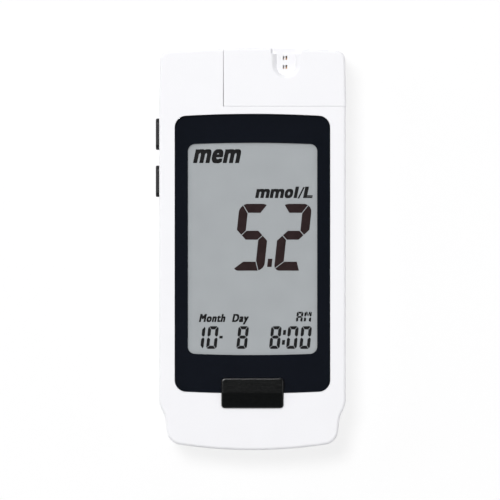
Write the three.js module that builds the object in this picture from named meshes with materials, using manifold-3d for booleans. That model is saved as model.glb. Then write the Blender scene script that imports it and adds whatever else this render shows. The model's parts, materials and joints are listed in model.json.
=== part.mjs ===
// Blood glucose meter, lying on its back with the display up.
// +Z is up, +Y points to the test-strip end, and the origin is the middle of the flat back.
// Every size is in millimetres.

import * as THREE from 'three';
import { mergeVertices } from 'three/addons/utils/BufferGeometryUtils.js';
import Module from 'manifold-3d';

const wasm = await Module();
wasm.setup();

// Case outline, seen from the front
const caseLength = 97;
const caseWidth = 45;
const topEdgeRise = 0.8;
const topCornerRadius = 2.1;
const sideTaper = 0.25;
const sideTaperLength = 12.5;
const sideTaperRadius = 60;
const waistFromEnd = 11.1;
const waistLength = 3.1;
const waistStep = 1.43;
const waistRadius = 5;
const lowerSideTaper = 0.77;
const bottomEdgeRise = 1.7;
const bottomCornerRadius = 3.6;

// Case section
const caseThickness = 16;
const partingHeight = 5.5;
const sideWall = 1.8;
const backWall = 1.6;
const frontEdgeRadius = 1;
const backEdgeInset = 1.8;
const backEdgeHeight = 3;

// Window pane, let into the front case, with its printed border behind it
const windowSideMargin = 3.76;
const windowTopMargin = 15.88;
const windowBottomMargin = 13.7;
const windowTopRise = 0.6;
const windowBottomRise = 0.5;
const windowCornerRadius = 2.35;
const windowFit = 0.12;
const lensDrop = 0.1;
const lensThickness = 1.2;
const maskThickness = 0.2;
const ledgeThickness = 1.2;

// Display, as seen inside the printed border
const displaySideBorder = 3.11;
const displayTopBorder = 6.94;
const displayBottomBorder = 9.23;
const displayRise = 0.35;
const displayCornerRadius = 1.45;
const coverMargin = 0.4;
const coverGap = 0.2;
const glassMargin = 1.4;
const glassContactLedge = 2.9;
const frontGlassThickness = 0.9;
const rearGlassThickness = 0.9;
const reflectorThickness = 0.2;
const sealThickness = 0.3;
const displayStand = 0.8;
const displayFit = 0.15;
const frameWall = 0.7;
const frameLedge = 1.6;
const zebraWidth = 1.8;

// Circuit board
const boardThickness = 1;
const boardGap = 0.5;
const bossFit = 0.25;

// Main button, with a roof-shaped cap
const mainCapWidth = 14.9;
const mainCapLength = 7.3;
const mainCapFromEnd = 13.76;
const mainCapRadius = 0.8;
const mainRidgeRise = 0.9;
const mainEdgeRise = 0.4;
const mainFlangeReach = 0.6;
const mainFlangeThickness = 0.9;
const mainTravel = 0.6;
const capFit = 0.22;

// Two buttons in the left side wall
const sideCapLength = 7.63;
const sideCapHeight = 2.6;
const sideCapProud = 0.95;
const sideCapEdge = 0.3;
const sideFlangeReach = 0.4;
const sideFlangeThickness = 0.7;
const sideTravel = 0.5;
const upperSideFromTop = 20.6;
const sideButtonPitch = 11.42;
const flangeGap = 0.1;

// Push switches under the buttons
const mainSwitchSize = 4.5;
const sideSwitchWidth = 4.7;
const sideSwitchDepth = 2.8;
const sideSwitchHeight = 3.1;
const plungerRadius = 0.9;
const plungerSpare = 0.15;
const plungerHold = 0.4;
const plungerFit = 0.12;

// Detachable strip head in the top right corner
const headWidth = 29.53;
const headLength = 14;
const headWall = 1.6;
const headProud = 0.08;
const sideSeam = 0.25;
const crossSeam = 0.14;
const headLift = 0.15;
const headBlockWall = 1.3;

// Nose of the front case that the strip head slides over
const noseLength = 6;
const noseWall = 1.2;
const noseRoof = 0.8;
const noseFit = 0.3;
const headRailReach = 0.9;
const headRailHeight = 1;
const headRailFit = 0.2;

// Strip port in the strip head
const portFromSide = 14.4;
const notchWidth = 7.25;
const notchFloorWidth = 4.5;
const notchLength = 7.4;
const notchEndSlope = 0.9;
const notchDepth = 2.6;
const notchRadius = 3.55;
const notchFloorRadius = 2.2;
const notchFloorThickness = 0.7;
const lipLength = 1.3;
const stripSlotWidth = 7.1;
const stripSlotHeight = 0.9;
const slotCheek = 1.4;
const portWindowWidth = 1.2;
const portWindowLength = 1;
const portWindowPitch = 2.2;
const portWindowFromEnd = 2.3;

// Strip connector on the board
const connectorWidth = 9.6;
const connectorLength = 5;
const connectorRoof = 0.5;
const connectorTailGap = 0.8;
const contactWidth = 1;
const contactThickness = 0.25;
const contactPitch = 2.2;
const contactDrop = 0.12;
const outerContactSetback = 3.2;

// Two coin cells and their door
const cellDiameter = 20;
const cellHeight = 3.2;
const cellRim = 0.35;
const cellCapInset = 1.1;
const cellSpacing = 0.6;
const cellFromEnd = 3.3;
const cellGap = 0.4;
const bayRib = 1;
const doorMargin = 1.6;
const railReach = 1;
const railThickness = 0.8;
const doorFit = 0.15;
const linkThickness = 0.2;
const linkWidth = 6;
const gripWidth = 12;
const gripPitch = 1.8;
const gripGroove = 0.8;
const gripDepth = 0.4;
const gripCount = 5;
const gripFromEnd = 9;

// Springs that press on the cells
const springWidth = 4;
const springThickness = 0.3;
const springFoot = 3;
const springReach = 5;
const springToe = 1.2;
const springToeRise = 0.6;
const springTouch = 0.05;

// Case screws and the bosses that they run in
const screwHeadRadius = 1.9;
const screwHeadHeight = 1.3;
const screwShankRadius = 0.9;
const screwLength = 9;
const screwSeatHeight = 3;
const screwFit = 0.15;
const screwCrossWidth = 0.5;
const screwCrossSpan = 2.4;
const screwCrossDepth = 0.7;
const bossWall = 0.85;
const boardStopReach = 0.5;
const lowerScrewFromSide = 6.3;
const lowerScrewFromEnd = 7.5;
const upperScrewFromSide = 5.3;
const leftScrewFromTop = 5.9;
const rightScrewFromHead = 3.9;

// Parts soldered to the back of the board
const processorSize = 9;
const processorHeight = 1.4;
const processorMark = 0.45;
const memoryWidth = 5;
const memoryLength = 4;
const memoryHeight = 1.1;
const memoryMark = 0.3;
const crystalWidth = 3.2;
const crystalLength = 7;
const crystalHeight = 1.3;
const buzzerRadius = 5.5;
const buzzerHeight = 2.2;
const buzzerHole = 0.7;
const chipMarkDepth = 0.12;
const chipGap = 2;
const chipRowFromCells = 4;

// Small rounded corners, overruns of cuts, and how finely curves are divided
const smallestRadius = 0.05;
const plateRadius = 0.8;
const cutOverrun = 5;
const cornerSteps = 5;
const crownSteps = 6;
const edgeSteps = 4;
const roundSteps = 32;
const smallRoundSteps = 20;
const bowShare = 0.96;

// Places and heights that follow from the sizes
const caseTop = caseLength / 2;
const caseBottom = -caseLength / 2;
const caseSide = caseWidth / 2;
const lensTop = caseThickness - lensDrop;
const lensBottom = lensTop - lensThickness;
const maskBottom = lensBottom - maskThickness;
const plateBottom = maskBottom - ledgeThickness;
const coverTop = maskBottom - coverGap;
const glassTop = plateBottom - sealThickness;
const frontGlassBottom = glassTop - frontGlassThickness;
const rearGlassBottom = frontGlassBottom - rearGlassThickness;
const reflectorBottom = rearGlassBottom - reflectorThickness;
const boardTop = reflectorBottom - displayStand;
const boardBottom = boardTop - boardThickness;

const windowTop = caseTop - windowTopMargin;
const windowBottom = caseBottom + windowBottomMargin;
const windowSide = caseSide - windowSideMargin;
const displayTop = windowTop - displayTopBorder;
const displayBottom = windowBottom + displayBottomBorder;
const displaySide = windowSide - displaySideBorder;
const glassSide = displaySide + glassMargin;
const glassUpperEnd = displayTop + glassMargin;
const glassLowerEnd = displayBottom - glassContactLedge;
const rearGlassLowerEnd = displayBottom - glassMargin / 2;

const mainCapY = caseBottom + mainCapFromEnd;
const mainFlangeTop = plateBottom - flangeGap;
const mainFlangeBottom = mainFlangeTop - mainFlangeThickness;
const sideCapX = -caseSide;
const sideFlangeOuter = sideWall + flangeGap;
const sideFlangeInner = sideFlangeOuter + sideFlangeThickness;
const sideSwitchFace = sideFlangeInner + sideTravel + plungerSpare;
const sideButtonZ = (partingHeight + boardBottom) / 2;
const upperSideY = caseTop - upperSideFromTop;
const lowerSideY = upperSideY - sideButtonPitch;

const headSeamX = caseSide - headWidth;
const headSeamY = caseTop - headLength;
const headLeft = headSeamX + sideSeam / 2;
const headFoot = headSeamY + crossSeam / 2;
const headBottom = partingHeight + headLift;
const headCeiling = caseThickness - headWall;
const noseLeft = headLeft + headWall + noseFit;
const noseRight = caseSide - sideWall - noseFit;
const noseTop = headCeiling - noseFit;
const noseCeiling = noseTop - noseRoof;
const noseEnd = headSeamY + noseLength;
const noseInnerEnd = noseEnd - noseWall;

const portX = caseSide - portFromSide;
const notchFloorTop = caseThickness - notchDepth;
const stripSlotTop = notchFloorTop - notchFloorThickness;
const stripSlotBottom = stripSlotTop - stripSlotHeight;
const connectorEnd = noseInnerEnd - noseFit;
const connectorStart = connectorEnd - connectorLength;

const lowerCellY = caseBottom + cellFromEnd + cellDiameter / 2;
const upperCellY = lowerCellY + cellDiameter + cellSpacing;
const cellBottom = backWall + linkThickness + doorFit;
const cellTop = cellBottom + cellHeight;
const bayTop = upperCellY + cellDiameter / 2 + cellGap;
const baySide = cellDiameter / 2 + cellGap;
const doorSide = cellDiameter / 2 + doorMargin;
const doorEnd = bayTop + bayRib;
const railSide = doorSide + railReach;
const railBottom = backWall - railThickness;

const screwBossRadius = screwShankRadius + screwFit + bossWall;
const screwPlaces = {
  case_screw_lower_left: [-caseSide + lowerScrewFromSide, caseBottom + lowerScrewFromEnd],
  case_screw_lower_right: [caseSide - lowerScrewFromSide, caseBottom + lowerScrewFromEnd],
  case_screw_upper_left: [-caseSide + upperScrewFromSide, caseTop - leftScrewFromTop],
  case_screw_upper_right: [caseSide - upperScrewFromSide, headSeamY - rightScrewFromHead],
};

// Materials, as the photograph shows them
const material = (color, roughness, metalness) =>
  new THREE.MeshStandardMaterial({ color, roughness, metalness, flatShading: true });
const whitePlastic = material(0xf4f4f6, 0.35, 0);
const blackPlastic = material(0x202224, 0.5, 0);
const greyRubber = material(0x4a4b4e, 0.7, 0);
const borderInk = material(0x15181d, 0.2, 0);
const clearAcrylic = new THREE.MeshStandardMaterial({
  color: 0xe8ecef, roughness: 0.05, metalness: 0, transparent: true, opacity: 0.25, flatShading: true,
});
const displayGlass = material(0xa6aaac, 0.25, 0);
const reflectorFilm = material(0xb9bcbc, 0.4, 0.3);
const foam = material(0x2a2a2c, 0.9, 0);
const boardGreen = material(0x1f5a3a, 0.5, 0);
const chipBlack = material(0x1a1a1c, 0.6, 0);
const steel = material(0xb4b6b8, 0.3, 1);
const springSteel = material(0xc4c2bc, 0.3, 1);
const copper = material(0xc08a5a, 0.35, 1);
const brassDisc = material(0xc9a24a, 0.35, 1);

// Outlines

// Points of a counter-clockwise outline moved in by `inset`, each corner rounded by its own radius.
function roundedOutline(corners, inset = 0) {
  const edges = corners.map((corner, index) => {
    const next = corners[(index + 1) % corners.length];
    const along = new THREE.Vector2(next.x - corner.x, next.y - corner.y).normalize();
    const inward = new THREE.Vector2(-along.y, along.x);
    const start = new THREE.Vector2(corner.x, corner.y).addScaledVector(inward, inset);
    return { along, inward, start };
  });
  return corners.flatMap((corner, index) => {
    const before = edges.at(index - 1);
    const after = edges[index];
    const sine = before.along.cross(after.along);
    const turn = Math.atan2(sine, before.along.dot(after.along));
    const side = Math.sign(turn);
    const offset = after.start.clone().sub(before.start).cross(after.along) / sine;
    const vertex = before.start.clone().addScaledVector(before.along, offset);
    const radius = Math.max(corner.radius - side * inset, smallestRadius);
    const tangent = radius * Math.tan(Math.abs(turn) / 2);
    const centre = vertex
      .clone()
      .addScaledVector(before.along, -tangent)
      .addScaledVector(before.inward, side * radius);
    const spoke = before.inward.clone().multiplyScalar(-side * radius);
    const steps = corner.steps ?? cornerSteps;
    return Array.from({ length: steps + 1 }, (_, step) =>
      spoke.clone().rotateAround(new THREE.Vector2(), (turn * step) / steps).add(centre));
  });
}

// Corner at the middle of a bowed edge, which falls by `rise` from its middle to its ends.
function crownCorner(y, outward, halfWidth, rise, cornerRadius) {
  const reach = bowShare * (halfWidth - cornerRadius);
  const peak = (rise * reach) / (2 * halfWidth - reach);
  const slope = Math.atan((peak + rise) / halfWidth);
  const radius = peak / (1 / Math.cos(slope) - 1);
  return { x: 0, y: y + outward * peak, radius, steps: crownSteps };
}

// Adds the left half of an outline that runs up its right side from bottom middle to top middle.
function mirrored(rightHalf) {
  const left = rightHalf
    .slice(1, -1)
    .map((corner) => ({ ...corner, x: -corner.x }))
    .reverse();
  return [...rightHalf, ...left];
}

function caseCorners() {
  const lowerSide = caseSide - waistStep - lowerSideTaper;
  const upperSide = caseSide - sideTaper;
  const waistTop = caseBottom + waistFromEnd;
  return mirrored([
    crownCorner(caseBottom, -1, lowerSide, bottomEdgeRise, bottomCornerRadius),
    { x: lowerSide, y: caseBottom + bottomEdgeRise, radius: bottomCornerRadius },
    { x: caseSide - waistStep, y: waistTop - waistLength, radius: waistRadius },
    { x: caseSide, y: waistTop, radius: waistRadius },
    { x: caseSide, y: caseTop - sideTaperLength, radius: sideTaperRadius, steps: 1 },
    { x: upperSide, y: caseTop - topEdgeRise, radius: topCornerRadius },
    crownCorner(caseTop, 1, upperSide, topEdgeRise, topCornerRadius),
  ]);
}

function bowedRectangle(side, bottom, top, bottomRise, topRise, radius) {
  return mirrored([
    crownCorner(bottom, -1, side, bottomRise, radius),
    { x: side, y: bottom + bottomRise, radius },
    { x: side, y: top - topRise, radius },
    crownCorner(top, 1, side, topRise, radius),
  ]);
}

function rectangle(left, right, bottom, top, radius) {
  return [
    { x: left, y: bottom, radius },
    { x: right, y: bottom, radius },
    { x: right, y: top, radius },
    { x: left, y: top, radius },
  ];
}

const windowCorners = bowedRectangle(
  windowSide, windowBottom, windowTop, windowBottomRise, windowTopRise, windowCornerRadius);
const displayCorners = bowedRectangle(
  displaySide, displayBottom, displayTop, displayRise, displayRise, displayCornerRadius);
const mainCapCorners = rectangle(
  -mainCapWidth / 2, mainCapWidth / 2,
  mainCapY - mainCapLength / 2, mainCapY + mainCapLength / 2, mainCapRadius);
const sideCapCorners = rectangle(
  -sideCapHeight / 2, sideCapHeight / 2,
  -sideCapLength / 2, sideCapLength / 2, sideCapHeight / 2 - smallestRadius);

// Solids

function solidOf(geometry) {
  geometry.deleteAttribute('normal');
  geometry.deleteAttribute('uv');
  const merged = mergeVertices(geometry);
  const corners = merged.index.array;
  const faces = [];
  for (let start = 0; start < corners.length; start += 3) {
    const face = [...corners.slice(start, start + 3)];
    if (new Set(face).size === 3) {
      faces.push(...face);
    }
  }
  return new wasm.Manifold(new wasm.Mesh({
    numProp: 3,
    vertProperties: new Float32Array(merged.attributes.position.array),
    triVerts: new Uint32Array(faces),
  }));
}

function geometryOf(solid) {
  const { vertProperties, triVerts } = solid.getMesh();
  const geometry = new THREE.BufferGeometry();
  geometry.setAttribute('position', new THREE.BufferAttribute(vertProperties, 3));
  geometry.setIndex(new THREE.BufferAttribute(triVerts, 1));
  geometry.computeVertexNormals();
  return geometry;
}

// Closed shape through rings of points, lowest first, each ring counter-clockwise seen from above.
function loftGeometry(rings) {
  const count = rings[0].points.length;
  const positions = rings.flatMap(({ points, height }) => points.flatMap(({ x, y }) => [x, y, height]));
  const faces = [];
  for (let level = 0; level < rings.length - 1; level += 1) {
    for (let index = 0; index < count; index += 1) {
      const next = (index + 1) % count;
      const [a, b] = [level * count + index, level * count + next];
      faces.push(a, b, b + count, a, b + count, a + count);
    }
  }
  const lastLevel = (rings.length - 1) * count;
  for (const [a, b, c] of THREE.ShapeUtils.triangulateShape(rings[0].points, [])) {
    faces.push(c, b, a);
  }
  for (const [a, b, c] of THREE.ShapeUtils.triangulateShape(rings.at(-1).points, [])) {
    faces.push(a + lastLevel, b + lastLevel, c + lastLevel);
  }
  const geometry = new THREE.BufferGeometry();
  geometry.setAttribute('position', new THREE.Float32BufferAttribute(positions, 3));
  geometry.setIndex(faces);
  return geometry;
}

const loft = (rings) => solidOf(loftGeometry(rings));

function prism(points, bottom, top) {
  return loft([{ points, height: bottom }, { points, height: top }]);
}

function box(left, right, near, far, bottom, top) {
  const geometry = new THREE.BoxGeometry(right - left, far - near, top - bottom);
  geometry.translate((left + right) / 2, (near + far) / 2, (bottom + top) / 2);
  return solidOf(geometry);
}

function disc(radius, x, y, bottom, top, steps = smallRoundSteps) {
  const geometry = new THREE.CylinderGeometry(radius, radius, top - bottom, steps);
  geometry.rotateX(Math.PI / 2);
  geometry.translate(x, y, (bottom + top) / 2);
  return solidOf(geometry);
}

const joined = (solids) => solids.reduce((whole, solid) => whole.add(solid));
const cutBy = (solid, cutters) => cutters.reduce((whole, cutter) => whole.subtract(cutter), solid);

// Bent metal strip: a path of [y, z] points in the middle of the sheet, as wide in X as `width`.
function bentStrip(path, thickness, width) {
  const points = path.map(([y, z]) => new THREE.Vector2(y, z));
  const normals = points.map((point, index) => {
    const before = points[Math.max(index - 1, 0)];
    const after = points[Math.min(index + 1, points.length - 1)];
    const legs = [point.clone().sub(before), after.clone().sub(point)].filter((leg) => leg.length() > 0);
    const sides = legs.map((leg) => new THREE.Vector2(-leg.y, leg.x).normalize());
    const middle = sides.reduce((sum, side) => sum.clone().add(side)).normalize();
    return middle.divideScalar(middle.dot(sides[0]));
  });
  const offset = (side) => points.map((point, index) =>
    point.clone().addScaledVector(normals[index], (side * thickness) / 2));
  const outline = [...offset(1).reverse(), ...offset(-1)];
  const geometry = new THREE.ExtrudeGeometry(new THREE.Shape(outline), { depth: width, bevelEnabled: false });
  geometry.translate(0, 0, -width / 2);
  geometry.rotateY(Math.PI / 2);
  geometry.rotateX(Math.PI / 2);
  return solidOf(geometry);
}

// Rings of the outer skin, from the flat back up its rounded edge, and up to the front face.
function backRings(top) {
  const rings = [];
  for (let step = 0; step <= edgeSteps; step += 1) {
    const angle = ((Math.PI / 2) * step) / edgeSteps;
    rings.push({
      points: roundedOutline(caseCorners(), backEdgeInset * (1 - Math.sin(angle))),
      height: backEdgeHeight * (1 - Math.cos(angle)),
    });
  }
  rings.push({ points: roundedOutline(caseCorners()), height: top });
  return rings;
}

function frontRings(bottom, proud = 0) {
  const rings = [{ points: roundedOutline(caseCorners(), -proud), height: bottom }];
  for (let step = 0; step <= edgeSteps; step += 1) {
    const angle = ((Math.PI / 2) * step) / edgeSteps;
    rings.push({
      points: roundedOutline(caseCorners(), frontEdgeRadius * (1 - Math.cos(angle)) - proud),
      height: caseThickness - frontEdgeRadius + frontEdgeRadius * Math.sin(angle),
    });
  }
  return rings;
}

// Case halves

function screwBosses(radius, bottom, top) {
  return Object.values(screwPlaces).map(([x, y]) => disc(radius, x, y, bottom, top));
}

function frontCavity() {
  const cavity = prism(roundedOutline(caseCorners(), sideWall), partingHeight - cutOverrun, plateBottom);
  const headCorner = box(
    headSeamX - sideSeam / 2 - sideWall, caseSide, headSeamY - crossSeam / 2 - sideWall, caseTop,
    partingHeight - 2 * cutOverrun, plateBottom + cutOverrun);
  return cavity.subtract(headCorner);
}

// Room inside the nose, open to the rest of the case.
function noseSpace(bottom, top) {
  return box(
    noseLeft + noseWall, noseRight - noseWall,
    headSeamY - crossSeam / 2 - sideWall - noseWall, noseInnerEnd, bottom, top);
}

// Rail on the strip head, or with `fit` the groove that it runs in, on both sides of the nose.
function headRails(fit) {
  const bottom = (headBottom + noseCeiling - headRailHeight) / 2 - fit;
  const inner = [headLeft + headWall, caseSide - sideWall];
  return [[inner[0], inner[0] + headRailReach + fit], [inner[1] - headRailReach - fit, inner[1]]].map(
    ([left, right]) => box(
      left, right, headFoot, noseEnd + fit, bottom, bottom + headRailHeight + 2 * fit));
}

function frontCase() {
  const skin = loft(frontRings(partingHeight));
  const headCut = box(
    headSeamX - sideSeam / 2, caseSide + cutOverrun, headSeamY - crossSeam / 2, caseTop + cutOverrun,
    partingHeight - cutOverrun, caseThickness + cutOverrun);
  const nose = box(
    noseLeft, noseRight, headSeamY - crossSeam / 2 - sideWall, noseEnd, partingHeight, noseTop);
  const mouth = box(
    portX - stripSlotWidth / 2, portX + stripSlotWidth / 2, noseInnerEnd - cutOverrun, noseEnd + cutOverrun,
    stripSlotBottom, stripSlotTop);
  const windowPocket = prism(
    roundedOutline(windowCorners, -windowFit), maskBottom, caseThickness + cutOverrun);
  const displayHole = prism(
    roundedOutline(displayCorners, -coverMargin - displayFit), plateBottom - cutOverrun,
    caseThickness + cutOverrun);
  const capHole = prism(
    roundedOutline(mainCapCorners, -capFit), plateBottom - cutOverrun, caseThickness + cutOverrun);
  const bosses = [
    ...screwBosses(screwBossRadius, partingHeight, plateBottom),
    ...screwBosses(screwBossRadius + boardStopReach, boardTop, plateBottom),
  ];
  const pilots = screwBosses(
    screwShankRadius + screwFit, partingHeight - cutOverrun,
    screwSeatHeight + screwLength + screwFit);
  const sideHoles = [upperSideY, lowerSideY].map(sideButtonHole);
  const noseRoom = noseSpace(partingHeight - cutOverrun, noseCeiling);
  const shell = skin.subtract(frontCavity()).subtract(headCut).add(nose).subtract(noseRoom);
  const opened = cutBy(shell, [windowPocket, displayHole, mouth, ...headRails(headRailFit)]);
  return cutBy(joined([opened, ...bosses]), [...pilots, capHole, ...sideHoles]);
}

function sideButtonHole(y) {
  const points = roundedOutline(sideCapCorners, -capFit);
  const hole = loftGeometry([{ points, height: -cutOverrun }, { points, height: cutOverrun }]);
  hole.rotateY(-Math.PI / 2);
  hole.translate(sideCapX, y, sideButtonZ);
  return solidOf(hole);
}

function backCase() {
  const skin = loft(backRings(partingHeight));
  const shelfBottom = partingHeight - noseWall;
  const shelf = box(
    headSeamX - sideSeam / 2 - sideWall, caseSide, headSeamY - crossSeam / 2 - sideWall, caseTop,
    shelfBottom, partingHeight + cutOverrun);
  const cavity = prism(roundedOutline(caseCorners(), sideWall), backWall, partingHeight + cutOverrun);
  const doorSlot = box(
    -doorSide - doorFit, doorSide + doorFit, caseBottom - cutOverrun, doorEnd + doorFit,
    -cutOverrun, cellBottom);
  const railSlot = box(
    -railSide - doorFit, railSide + doorFit, caseBottom - cutOverrun, doorEnd + doorFit,
    railBottom - doorFit, backWall + doorFit);
  const bayInside = box(
    -baySide, baySide, caseBottom + sideWall, bayTop, -cutOverrun, partingHeight + cutOverrun);
  const bayWalls = box(
    -baySide - bayRib, baySide + bayRib, caseBottom + sideWall, bayTop + bayRib, backWall, partingHeight);
  const railRoof = box(
    -railSide - doorFit - bayRib, railSide + doorFit + bayRib, caseBottom + sideWall, bayTop + bayRib,
    backWall, backWall + doorFit + bayRib);
  const bosses = screwBosses(screwHeadRadius + screwFit + bossWall, backWall / 2, partingHeight);
  const headRecesses = screwBosses(screwHeadRadius + screwFit, -cutOverrun, screwSeatHeight);
  const shankHoles = screwBosses(screwShankRadius + screwFit, 0, partingHeight + cutOverrun);
  const hollow = skin
    .subtract(cavity.subtract(shelf))
    .subtract(noseSpace(backWall, partingHeight + cutOverrun));
  const inside = prism(roundedOutline(caseCorners(), sideWall / 2), backWall / 2, partingHeight);
  const ribs = joined([bayWalls, railRoof]).subtract(bayInside).intersect(inside);
  return cutBy(joined([hollow, ribs, ...bosses]), [doorSlot, railSlot, ...headRecesses, ...shankHoles]);
}

// Window and display

function displayLens() {
  const pane = prism(roundedOutline(windowCorners), lensBottom, lensTop);
  return pane.subtract(prism(
    roundedOutline(mainCapCorners, -capFit), lensBottom - cutOverrun, lensTop + cutOverrun));
}

function lensMask() {
  const sheet = prism(roundedOutline(windowCorners), maskBottom, lensBottom);
  return cutBy(sheet, [
    prism(roundedOutline(displayCorners), maskBottom - cutOverrun, lensBottom + cutOverrun),
    prism(roundedOutline(mainCapCorners, -capFit), maskBottom - cutOverrun, lensBottom + cutOverrun),
  ]);
}

// Clear block bonded to the front glass, which brings the image up to the back of the printed border.
function displayCover() {
  return prism(roundedOutline(displayCorners, -coverMargin), glassTop, coverTop);
}

function glassPlate(lowerEnd, bottom, top) {
  return prism(roundedOutline(rectangle(
    -glassSide, glassSide, lowerEnd, glassUpperEnd, smallestRadius)), bottom, top);
}

function dustSeal() {
  const outer = prism(roundedOutline(rectangle(
    -glassSide, glassSide, glassLowerEnd, glassUpperEnd, plateRadius)), glassTop, plateBottom);
  return outer.subtract(prism(
    roundedOutline(displayCorners, -coverMargin - displayFit), glassTop - cutOverrun,
    plateBottom + cutOverrun));
}

function displayFrame() {
  const pocketSide = glassSide + displayFit;
  const pocket = box(
    -pocketSide, pocketSide, glassLowerEnd - displayFit, glassUpperEnd + displayFit,
    reflectorBottom, glassTop + cutOverrun);
  const outer = prism(roundedOutline(rectangle(
    -pocketSide - frameWall, pocketSide + frameWall,
    glassLowerEnd - displayFit - frameWall, glassUpperEnd + displayFit + frameWall, plateRadius)),
    boardTop, glassTop);
  const lighteningHole = box(
    -pocketSide + frameLedge, pocketSide - frameLedge,
    glassLowerEnd + frameLedge + zebraWidth, glassUpperEnd - frameLedge,
    boardTop - cutOverrun, glassTop + cutOverrun);
  const zebraSlot = box(
    -glassSide + frameLedge - displayFit, glassSide - frameLedge + displayFit,
    zebraCentreY() - zebraWidth / 2 - displayFit, zebraCentreY() + zebraWidth / 2 + displayFit,
    boardTop - cutOverrun, glassTop + cutOverrun);
  return cutBy(outer, [pocket, lighteningHole, zebraSlot]);
}

function zebraCentreY() {
  return (glassLowerEnd + rearGlassLowerEnd) / 2;
}

function zebraConnector() {
  return box(
    -glassSide + frameLedge, glassSide - frameLedge,
    zebraCentreY() - zebraWidth / 2, zebraCentreY() + zebraWidth / 2, boardTop, frontGlassBottom);
}

// Circuit board and what it carries

function mainBoard() {
  const blank = prism(roundedOutline(caseCorners(), sideWall + boardGap), boardBottom, boardTop);
  const headCorner = box(
    headSeamX - sideSeam / 2 - sideWall - boardGap, caseSide,
    headSeamY - crossSeam / 2 - sideWall - boardGap, caseTop,
    boardBottom - cutOverrun, boardTop + cutOverrun);
  const tongue = box(
    noseLeft + noseWall + boardGap, noseRight - noseWall - boardGap,
    headSeamY - headLength / 2, noseInnerEnd - noseFit, boardBottom, boardTop);
  const holes = screwBosses(
    screwBossRadius + bossFit, boardBottom - cutOverrun, boardTop + cutOverrun);
  const buttonNotches = [upperSideY, lowerSideY].map((y) => box(
    -caseSide, sideCapX + sideSwitchFace,
    y - sideCapLength / 2 - sideFlangeReach - capFit, y + sideCapLength / 2 + sideFlangeReach + capFit,
    boardBottom - cutOverrun, boardTop + cutOverrun));
  return cutBy(blank.subtract(headCorner).add(tongue), [...holes, ...buttonNotches]);
}

function chip(width, length, height, markRadius) {
  const body = prism(roundedOutline(rectangle(
    -width / 2, width / 2, -length / 2, length / 2, smallestRadius)), -height, 0);
  const markSide = width / 2 - 2 * markRadius;
  const markEnd = length / 2 - 2 * markRadius;
  const mark = disc(
    markRadius, -markSide, markEnd, -height - cutOverrun, -height + chipMarkDepth);
  return body.subtract(mark);
}

function crystalCan() {
  return prism(roundedOutline(rectangle(
    -crystalWidth / 2, crystalWidth / 2, -crystalLength / 2, crystalLength / 2,
    crystalWidth / 2 - smallestRadius)), -crystalHeight, 0);
}

function buzzerDisc() {
  const body = disc(buzzerRadius, 0, 0, -buzzerHeight, 0, roundSteps);
  return body.subtract(disc(buzzerHole, 0, 0, -buzzerHeight - cutOverrun, -buzzerHeight / 2));
}

// Buttons and their switches, built with the pressing direction along -Z

function mainButton() {
  const cap = prism(roundedOutline(mainCapCorners), mainFlangeTop, caseThickness + mainRidgeRise);
  const halfLength = mainCapLength / 2;
  const roof = new THREE.ExtrudeGeometry(new THREE.Shape([
    new THREE.Vector2(-halfLength - cutOverrun, mainFlangeTop - cutOverrun),
    new THREE.Vector2(halfLength + cutOverrun, mainFlangeTop - cutOverrun),
    new THREE.Vector2(halfLength + cutOverrun, caseThickness + mainEdgeRise),
    new THREE.Vector2(halfLength, caseThickness + mainEdgeRise),
    new THREE.Vector2(0, caseThickness + mainRidgeRise),
    new THREE.Vector2(-halfLength, caseThickness + mainEdgeRise),
    new THREE.Vector2(-halfLength - cutOverrun, caseThickness + mainEdgeRise),
  ]), { depth: mainCapWidth + cutOverrun, bevelEnabled: false });
  roof.translate(0, 0, -(mainCapWidth + cutOverrun) / 2);
  roof.rotateX(Math.PI / 2);
  roof.rotateZ(Math.PI / 2);
  roof.translate(0, mainCapY, 0);
  const flange = prism(
    roundedOutline(mainCapCorners, -mainFlangeReach), mainFlangeBottom, mainFlangeTop);
  return cap.intersect(solidOf(roof)).add(flange);
}

function sideButton() {
  const rings = [];
  for (let step = 0; step <= edgeSteps; step += 1) {
    const angle = ((Math.PI / 2) * step) / edgeSteps;
    rings.push({
      points: roundedOutline(sideCapCorners, sideCapEdge * (1 - Math.cos(angle))),
      height: sideCapProud - sideCapEdge + sideCapEdge * Math.sin(angle),
    });
  }
  const cap = loft([{ points: roundedOutline(sideCapCorners), height: -sideFlangeOuter }, ...rings]);
  const flange = prism(
    roundedOutline(sideCapCorners, -sideFlangeReach), -sideFlangeInner, -sideFlangeOuter);
  return cap.add(flange);
}

function plungerWell(travel) {
  return plungerHold + travel + plungerFit;
}

function pushSwitch(width, length, height, travel, plungerAt = [0, 0]) {
  const body = prism(roundedOutline(rectangle(
    -width / 2, width / 2, -length / 2, length / 2, smallestRadius)), -height, 0);
  return body.subtract(disc(
    plungerRadius + plungerFit, ...plungerAt, -plungerWell(travel), cutOverrun));
}

function plunger(travel) {
  return disc(plungerRadius, 0, 0, -plungerHold, travel + plungerSpare);
}

// Strip head, its connector and contacts

function notchCutter() {
  const outerEnd = caseTop - notchLength;
  const outer = roundedOutline(rectangle(
    portX - notchWidth / 2, portX + notchWidth / 2, outerEnd, caseTop + cutOverrun, notchRadius));
  const floor = roundedOutline(rectangle(
    portX - notchFloorWidth / 2, portX + notchFloorWidth / 2,
    outerEnd + notchEndSlope, caseTop + cutOverrun, notchFloorRadius));
  const rise = cutOverrun / notchDepth;
  const above = outer.map((point, index) => point.clone().lerp(floor[index], -rise));
  return loft([
    { points: floor, height: notchFloorTop },
    { points: outer, height: caseThickness },
    { points: above, height: caseThickness + cutOverrun },
  ]);
}

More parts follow.
